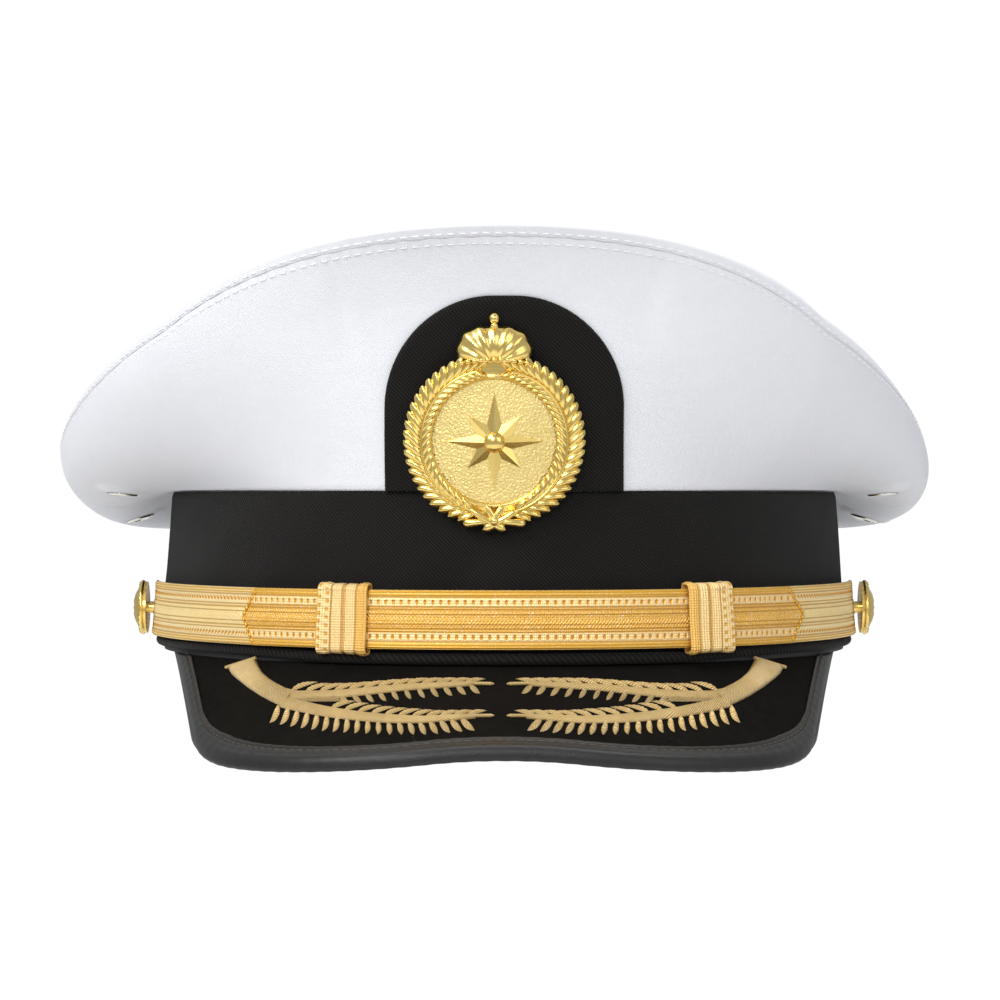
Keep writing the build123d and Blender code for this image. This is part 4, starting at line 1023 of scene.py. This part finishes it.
def visor_binding():
    """Leather binding run round the edge: a closed section with a groove, a rolled edge and a flat back.

    The section is given by its distance in from the edge and its height above the visor's face.
    """
    section = np.array([
        (5.8, 0.02), (5.75, 0.42), (5.5, 0.6), (5.1, 0.62), (4.75, 0.5), (4.5, 0.22), (4.3, 0.16), (4.1, 0.24),
        (3.85, 0.5), (3.4, 0.62), (2.9, 0.64), (2.4, 0.56), (2.0, 0.52), (1.6, 0.56), (1.1, 0.55), (0.6, 0.34),
        (0.25, 0.0), (0.05, -0.5), (0.0, -1.2), (0.08, -1.9), (0.35, -2.5), (0.8, -2.85), (1.5, -2.98),
        (3.0, -3.0), (4.6, -3.0), (5.5, -2.95), (5.75, -2.75), (5.8, -2.4), (5.3, -2.3), (5.3, -0.1),
    ])
    edge, out = visor_outline(420)
    k = np.arange(len(section))
    plan = edge[:, None] - out[:, None] * section[k, :1] * (binding_width(edge[:, 1]) / 5.8)[:, None, None]
    puckers = 0.035 * np.sin(np.arange(420) * 1.1)[:, None]
    z = visor_height(plan[..., 0], plan[..., 1]) + section[k, 1] + puckers
    points = stack(plan[..., 0], plan[..., 1], np.minimum(z, -0.15))
    surface("visor_binding_leather", points, BINDING, wrap_columns=True, core="own",
            stands_for=["visor_binding"], slot="binding_leather")
    lane, out = visor_outline(900, 0.0, 4.0)
    lane = lane - out * (binding_width(lane[:, 1]) * 0.74)[:, None]
    path = stack(lane[:, 0], lane[:, 1], visor_height(lane[:, 0], lane[:, 1]) + 0.3)
    place, along = spaced(path, 2.3)
    upright = np.tile([0, 0, 1.0], (len(place), 1))
    surface("visor_binding_stitches", grains(place, along, upright, 1.9, 0.2, 5, 6), BROWN_THREAD,
            wrap_columns=True, core="own", merge=True, slot="binding_leather")


felt_sheet = visor_sheet("visor_felt", 0.0, FELT, "visor_top_cloth", "black_felt", True)
under_sheet = visor_sheet("visor_lining_leather", 2.45, UNDERSIDE, "visor_lining", "visor_underside", False)
visor_binding()


# -------------------------------------------------------------------------------------- embroidery
def on_visor(x, z, lift):
    """Place on the visor's face seen square from the front, lifted off it: z fixes how far down the slope."""
    y = band_front(x) + z / tan(VISOR_SLOPE)
    sin_t = np.clip(x / END_RADIUS, -0.98, 0.98)
    cos_t = np.sqrt(1 - sin_t**2)
    s, c = np.sin(VISOR_SLOPE), np.cos(VISOR_SLOPE)
    normal = unit(stack(s * sin_t, -s * cos_t, c * cos_t))
    return stack(x, y, z) + normal * lift[..., None]


def ribbon(upper, lower, count, rise):
    """Padded satin band between two lines: its height is a half circle across."""
    share = np.linspace(0, 1, count)
    along = np.linspace(0, 1, len(upper))
    top = stack(*[np.interp(share, along, upper[:, k]) for k in (0, 1)])
    foot = stack(*[np.interp(share, along, lower[:, k]) for k in (0, 1)])
    b = np.linspace(-1, 1, 15)
    flat = (top + foot)[:, None] / 2 + (top - foot)[:, None] / 2 * b[:, None]
    return flat, 0.12 + rise * np.sqrt(1 - b**2) + 0 * flat[..., 0]


def spine_edges(spine):
    """Upper and lower line of a spine given as (x, z, half width)."""
    smooth = np.linspace(0, 1, 40)
    along = np.linspace(0, 1, len(spine))
    x, z, half = (np.interp(smooth, along, spine[:, k]) for k in range(3))
    return stack(x, z + half), stack(x, z - half)


UPPER_SPINE = np.array([(-52.5, -6.0, 1.1), (-48.9, -6.4, 0.85), (-44, -6.2, 0.8), (-39.6, -5.9, 0.75),
                        (-32.1, -5.1, 0.68), (-23.9, -4.2, 0.58), (-15.7, -3.7, 0.48), (-8.4, -3.35, 0.32)])
LOWER_SPINE = np.array([(-52.8, -7.6, 1.3), (-48.6, -8.4, 1.15), (-44, -9.1, 1.05), (-40.0, -9.6, 0.98),
                        (-33.3, -10.2, 0.85), (-27.6, -10.5, 0.78), (-19.5, -10.6, 0.62), (-11.5, -10.05, 0.45),
                        (-7.6, -9.85, 0.34)])
STEM_UPPER = np.array([(-60.0, 0.6), (-59.0, -0.8), (-57.9, -2.0), (-56.0, -3.2), (-54.0, -4.1), (-51.8, -4.9),
                       (-49.6, -5.6)])
STEM_LOWER = np.array([(-66.9, -1.7), (-65.9, -2.7), (-64.6, -3.5), (-61.2, -5.3), (-57.6, -6.9), (-54.6, -8.0),
                       (-51.6, -8.9)])
# Leaf rows: the spine and its side, roots' first and last x, count, then tips' steps in x and z from their
# roots at the row's start, middle and end, and the leaves' width there.
LEAF_ROWS = (
    (UPPER_SPINE, 1, -50.3, -10.3, 13, (6.2, 6.0, 4.9), (2.1, 1.9, 1.0), 0.62),
    (UPPER_SPINE, -1, -38.6, -9.0, 11, (2.3, 1.5, 2.3), (-1.2, -1.75, -1.5), 1.0),
    (UPPER_SPINE, -1, -48.0, -40.5, 8, (2.2, 2.2, 2.3), (-0.35, -0.45, -0.6), 0.5),
    (LOWER_SPINE, 1, -40.5, -9.6, 11, (5.6, 5.2, 4.5), (1.7, 1.6, 1.1), 0.62),
    (LOWER_SPINE, -1, -53.0, -10.8, 19, (-1.7, -0.3, 3.0), (-3.5, -2.5, -2.1), 1.3),
)


def leaf_rows():
    """Embroidered leaves: each bends from its root on the spine's edge to its tip, wide in the middle."""
    a, b = grid(np.linspace(0, 1, 13), np.linspace(-1, 1, 7))
    flats, lifts = [], []
    for spine, side, first, last, count, step_x, step_z, width in LEAF_ROWS:
        x = np.linspace(first, last, count)
        k = np.linspace(0, 1, count)
        level, half = (np.interp(x, spine[:, 0], spine[:, column]) for column in (1, 2))
        root = stack(x, level + side * 0.8 * half)
        step = stack(np.interp(k, (0, 0.5, 1), step_x), np.interp(k, (0, 0.5, 1), step_z))
        bend = root + step * (0.38, 0.72) + (0.55 if side < 0 else 0.0, 0.0)
        line = bezier((root[:, None], bend[:, None], (root + step)[:, None]), a[:, 0][None])
        along = unit(np.gradient(line, axis=1))
        across = np.stack([-along[..., 1], along[..., 0]], -1)
        lens = np.sin(pi * np.clip(a * 0.93 + 0.07, 0, 1) ** 0.8) ** 0.9 * (1 + 0.1 * np.sin(2 * pi * a * 6))
        flats.append(line[:, :, None] + across[:, :, None] * (width / 2 * b * lens)[None, ..., None])
        twist = 0.13 * np.sin(2 * pi * (a * 6 + b * 0.7))
        lifts.append(np.broadcast_to(0.1 + (0.7 + twist) * lens * np.sqrt(1 - b**2), (count, *a.shape)))
    return np.concatenate(flats), np.concatenate(lifts)


def embroidery(name, mirror):
    """One spray of gold embroidery: stem, two spines with rope-like tips, and their leaves."""
    def place(flat, lift):
        x = flat[..., 0] + 1.2 if mirror else -3.1 - 1.04 * flat[..., 0]
        return on_visor(x, flat[..., 1] - 0.7, lift)

    behind = (0, -60, -300)
    stem, rise = ribbon(STEM_UPPER, STEM_LOWER, 60, 1.0)
    points = place(stem, rise)
    main = surface(f"embroidery_stem_{name}", points, THREAD, core=behind, wall=0.1,
                   stands_for=[f"embroidery_{name}"], slot="gold_thread")
    spines = [ribbon(*spine_edges(spine), 90, 0.85) for spine in (UPPER_SPINE, LOWER_SPINE)]
    both = place(*(np.stack([s[part] for s in spines]) for part in (0, 1)))
    surface(f"embroidery_spines_{name}", both, THREAD, core=behind, wall=0.1, slot="gold_thread")
    leaves = place(*leaf_rows())
    surface(f"embroidery_leaves_{name}", leaves, THREAD, core=behind, merge=True, slot="gold_thread")
    share = np.linspace(0, 1, 30)
    tips = []
    for start, end in (((-8.6, -3.35), (-3.4, -3.45)), ((-8.0, -9.85), (-3.4, -9.8))):
        flat = np.array(start) + (np.array(end) - start) * share[:, None]
        tips.append(place(flat, np.full(30, 0.45)))
    radii = (0.34 + 0.12 * np.abs(np.sin(share * pi * 7))) * np.minimum(1, (1.03 - share) * 6)
    up = place(np.zeros((1, 2)), np.ones(1)) - place(np.zeros((1, 2)), np.zeros(1))
    surface(f"embroidery_tips_{name}", tubes(np.stack(tips), radii, 8, 1.0, up[0]), THREAD, wrap_columns=True,
            core="own", slot="gold_thread")
    across = STEM_UPPER[0] + (STEM_LOWER[0] - STEM_UPPER[0]) * np.linspace(-0.04, 1.04, 20)[:, None]
    butt = tubes(place(across, np.full(20, 0.75))[None], np.full(20, 0.42), 8, 1.0, up[0])
    surface(f"embroidery_butt_{name}", butt, THREAD, wrap_columns=True, core="own", slot="gold_thread")
    return main


embroidery("right", True)
embroidery("left", False)


# -------------------------------------------------------------------------------------- chin strap
def lace_relief(across, along, dot_pitch, dot_row):
    """Height of the lace's face: corded edges, two rows of sunken dots and a braided middle."""
    far = np.abs(across)
    cords = 0.10 * np.abs(np.sin(pi * (far - 5.1) / 0.58)) * (far > 5.1)
    dot = bump_of(far - dot_row, 0.42) * bump_of(((along / dot_pitch) % 1 - 0.5) * dot_pitch, 0.34)
    middle = 0.10 * np.sin(2 * pi * (along + far * 0.9) / 0.9) * (far < 1.95)
    lines = 0.15 * (bump_of(far - 2.15, 0.22) + bump_of(far - 5.15, 0.2) + bump_of(far - 2.85, 0.15))
    return 0.12 + cords - 0.3 * dot + middle - lines


def lace_strap(name, back, front, start, end, dot_pitch, dot_row, finish, node, body, pointed=False):
    """Length of lace on the band: its section from edge to edge and round its back, over t.

    Pointed ends narrow evenly to a blunt tip.
    """
    length = (end - start) * radians(1) * STRAP_RADIUS
    t = np.linspace(start, end, int(length / 0.3))
    along = np.linspace(0, length, len(t))
    half = np.full(len(t), STRAP_WIDTH / 2)
    if pointed:
        half *= np.clip((0.25 + np.minimum(along, length - along)) / 4.5, 0.05, 1)
    share = np.concatenate([np.linspace(-1, 1, 75), [1.0, 1.0], np.linspace(1, -1, 8), [-1.0, -1.0]])
    level = np.concatenate([np.full(75, 2.0), [0.7, 0.3], np.full(8, 0.0), [0.3, 0.7]])
    tt, k = grid(t, np.arange(len(share)))
    across = share[k] * half[:, None]
    from_edge = half[:, None] - np.abs(across)
    relief = lace_relief(across, along[:, None], dot_pitch, dot_row)
    face = front - 0.14 + relief * np.clip(from_edge / 0.3, 0, 1)
    face -= 0.25 * (1 - np.clip(from_edge / 0.35, 0, 1)) ** 2
    offset = np.where(level[k] > 1, face, back + (front - back) * level[k])
    z = STRAP_MIDDLE + across
    points = wall_point(tt, offset - LEAN * z, z)
    points[[0, -1]] = points[[0, -1]].mean(1, keepdims=True) * 0.25 + points[[0, -1]] * 0.75
    uv = stack(along[:, None], np.concatenate([across, across[:, :1]], 1))
    return surface(name, points, finish, wrap_columns=True, uv=uv, core=(0, 0, STRAP_MIDDLE), body=body,
                   stands_for=[node], slot="gold_lace")


def tip_stitches():
    """Dark gold stitches along the centre strap's pointed ends."""
    rows = []
    for sign, end in ((-1, STRAP_SHIFT - STRAP_REACH), (1, STRAP_SHIFT + STRAP_REACH)):
        for up in (-1, 1):
            k = (np.arange(5) + 0.5) / 5
            t = end - sign * (0.6 + k * 4.6) / (radians(1) * STRAP_RADIUS)
            z = STRAP_MIDDLE + up * k * (STRAP_WIDTH / 2 - 0.6)
            place = wall_point(t, 3.5 - LEAN * z, z)
            out = unit(place * (1, 1, 0) - np.array([0, -END_CENTRE, 0]))
            along = unit(np.gradient(place, axis=0))
            rows.append(grains(place, along, out, 1.25, 0.44, 6, 8))
    surface("strap_tip_stitches", np.concatenate(rows), DARK_GOLD, wrap_columns=True, core="own", merge=True,
            body="strap", slot="gold_lace")


def keeper(name, middle, mirror):
    """Loop of lace round both straps: a rounded oblong section, ribbed along the strap's run.

    Its ribs and grooves are a height that changes across the keeper only, and its beads also round it.
    """
    half_height, back, front = 8.05, 0.9, 4.35
    corner = 1.3
    turn = np.linspace(0, pi / 2, 7)
    depth = (front - back) / 2
    signs = ((1, 1), (-1, 1), (-1, -1), (1, -1))

    def corner_point(quarter, a):
        cx, cz = signs[quarter % 4]
        x, z = cx * (depth - corner), cz * (half_height - corner)
        return stack(x + corner * np.cos(a), z + corner * np.sin(a))

    arcs = []
    for quarter in range(4):
        arcs.append(corner_point(quarter, turn + quarter * pi / 2))
        start = arcs[-1][-1]
        stop = corner_point(quarter + 1, (quarter + 1) * pi / 2)
        count = 30 if quarter % 2 else 3
        arcs.append(start + (stop - start) * np.linspace(0, 1, count + 2)[1:-1, None])
    section = np.concatenate(arcs)
    facing = unit(np.roll(section, -1, 0) - np.roll(section, 1, 0)) @ np.array([[0, -1], [1, 0]])
    width = 12.9
    w = np.linspace(-width / 2, width / 2, 86)
    t = middle + w / (radians(1) * KEEPER_RADIUS)
    run = w * (1 if mirror else -1)
    ribs = 0.1 * np.sin(2 * pi * run / 0.75) * (run < 2.8)
    rolled = 0.35 * bump_of(run - 6.2, 0.9) + 0.4 * bump_of(run + 5.6, 1.2)
    grooves = -0.34 * (bump_of(run + 0.5, 0.4) + bump_of(run + 3.7, 0.3) + bump_of(run - 2.8, 0.3))
    level = ribs + rolled + grooves
    walked = np.concatenate([[0], np.cumsum(np.linalg.norm(np.diff(section, axis=0), axis=1))])
    beads = 0.38 * (bump_of(run - 4.6, 1.0))[:, None] * np.abs(np.sin(pi * walked / 1.9)) ** 0.7
    height = level[:, None] + beads + 0.1 * np.sin(walked / 2.3 + run[:, None] / 3)
    offset = (back + front) / 2 + section[:, 0] + height * facing[:, 0] * (section[:, 0] > -depth + 0.4)
    z = STRAP_MIDDLE + section[:, 1] + height * facing[:, 1]
    points = wall_point(t[:, None], offset - LEAN * z, z)
    uv = stack(run[:, None], np.concatenate([walked, [walked[-1] + 1]]))
    return surface(f"keeper_loop_{name}", points, KEEPER_LACE, wrap_columns=True, uv=uv, wall=0.5,
                   core=wall_point(middle, 2.5 - LEAN * STRAP_MIDDLE, STRAP_MIDDLE), body=f"keeper_{name}",
                   stands_for=[f"keeper_{name}"], slot="gold_lace")


lace_strap("strap_centre_lace", 2.6, 3.4, STRAP_SHIFT - STRAP_REACH, STRAP_SHIFT + STRAP_REACH, 2.05, 4.0,
           LACE, "strap_centre", "strap", True)
lace_strap("strap_left_lace", 1.7, 2.5, 7.4, 86.4, 1.1, 4.2, LACE_FINE, "strap_left", "strap")
lace_strap("strap_right_lace", 1.7, 2.5, -86.4, 1.4, 1.1, 4.2, LACE_FINE, "strap_right", "strap")
tip_stitches()
keeper("left", STRAP_SHIFT + KEEPER_ANGLE, True)
keeper("right", STRAP_SHIFT - KEEPER_ANGLE, False)


# ----------------------------------------------------------------------------------------- buttons
def buttons():
    """Domed buttons: a profile turned about the button's line, with a roped rim and a rosette of petals."""
    profile = np.array([
        (0, 2.75), (0.8, 2.7), (1.5, 2.62), (2.2, 2.5), (2.9, 2.32), (3.5, 2.12), (4.1, 1.9), (4.7, 1.6),
        (5.2, 1.28), (5.5, 1.0), (5.8, 0.86), (6.15, 1.12), (6.5, 1.16), (6.8, 0.9), (7.0, 0.5), (6.95, 0.2),
        (6.6, 0.05), (6.6, -0.1),
    ])
    radius, height = profile.T
    angle, k = grid(np.arange(96) * 2 * pi / 96, np.arange(len(radius)))
    petals = 0.3 * np.abs(np.cos(angle * 4)) * bump_of(radius[k] - 3.0, 1.6)
    rope = 0.18 * np.sin(angle * 26 + radius[k] * 2) * bump_of(radius[k] - 6.3, 0.5)
    for name, sign in SIDES:
        seat = np.sqrt((SIDE_RADIUS - LEAN * STRAP_MIDDLE) ** 2 - 15.0**2) - SIDE_CENTRE + 4.8
        points = stack(sign * (seat + height[k] + petals + rope), -15.0 + radius[k] * np.sin(angle),
                       STRAP_MIDDLE + radius[k] * np.cos(angle))
        surface(f"button_{name}_front", points, GILT, wrap_rows=True, merge=True, wall=0.4,
                core=(sign * 60, -15, STRAP_MIDDLE), body=f"button_{name}",
                stands_for=[f"button_dome_{name}"], slot="gilt_metal")


buttons()


# ------------------------------------------------------------------------------- studio and camera
def floor():
    """Round pale floor well below the cap."""
    angle, share = grid(np.arange(96) * 2 * pi / 96, np.array([1.0, 0.0]))
    points = stack(560 * share * np.sin(angle), 560 * share * np.cos(angle), -190.0 + 0 * share)
    mesh = bpy.data.meshes.new("floor")
    rows = len(points)
    ring = [(i, (i + 1) % rows) for i in range(rows)]
    faces = [(2 * a + 1, 2 * b, 2 * a) for a, b in ring]
    mesh.from_pydata((points.reshape(-1, 3) * 0.001).tolist(), [], faces)
    made = bpy.data.objects.new("floor", mesh)
    bpy.context.scene.collection.objects.link(made)
    finish = plain("pale_floor", (0.84, 0.84, 0.84), (0.88, 0.88, 0.88), 0.8, 60.0)
    mesh.materials.append(finish.material)


def soft_light(name, place, target, size, watts):
    """Square area light at a place, turned to face a target."""
    lamp = bpy.data.lights.new(name, "AREA")
    lamp.size, lamp.energy = size, watts
    made = bpy.data.objects.new(name, lamp)
    made.location = place
    made.rotation_euler = (Vector(target) - Vector(place)).to_track_quat("-Z", "Y").to_euler()
    bpy.context.scene.collection.objects.link(made)


def studio():
    """White surroundings, brighter where the camera sees them than where they light the cap."""
    world = bpy.data.worlds.new("studio")
    bpy.context.scene.world = world
    world.use_nodes = True
    tree = world.node_tree
    tree.nodes.clear()
    out = tree.nodes.new("ShaderNodeOutputWorld")
    seen, lighting = (tree.nodes.new("ShaderNodeBackground") for _ in range(2))
    seen.inputs["Strength"].default_value = 1.02
    seen.inputs["Color"].default_value = (1, 1, 1, 1)
    lighting.inputs["Color"].default_value = (0.97, 0.985, 1.0, 1)
    lighting.inputs["Strength"].default_value = 0.47
    path, mix = tree.nodes.new("ShaderNodeLightPath"), tree.nodes.new("ShaderNodeMixShader")
    tree.links.new(path.outputs["Is Camera Ray"], mix.inputs[0])
    tree.links.new(lighting.outputs[0], mix.inputs[1])
    tree.links.new(seen.outputs[0], mix.inputs[2])
    tree.links.new(mix.outputs[0], out.inputs["Surface"])
    soft_light("key_left", (-0.95, -1.05, 1.15), (0, 0, 0.03), 0.9, 17)
    soft_light("fill_right", (0.95, -1.15, 0.45), (0, 0, 0.03), 0.9, 3.5)
    soft_light("front", (-0.35, -1.6, 0.55), (0, -0.1, -0.03), 0.4, 7.5)
    soft_light("overhead", (0.1, 0.05, 1.35), (0, 0, 0.05), 1.0, 11)


def camera():
    lens = bpy.data.cameras.new("camera")
    lens.sensor_width, lens.lens = 36.0, 124.1
    made = bpy.data.objects.new("camera", lens)
    made.location = (-0.001, -0.9, 0.038)
    made.rotation_euler = (pi / 2, 0, 0)
    bpy.context.scene.collection.objects.link(made)
    bpy.context.scene.camera = made


floor()
studio()
camera()
bpy.context.scene.view_settings.view_transform = "Standard"
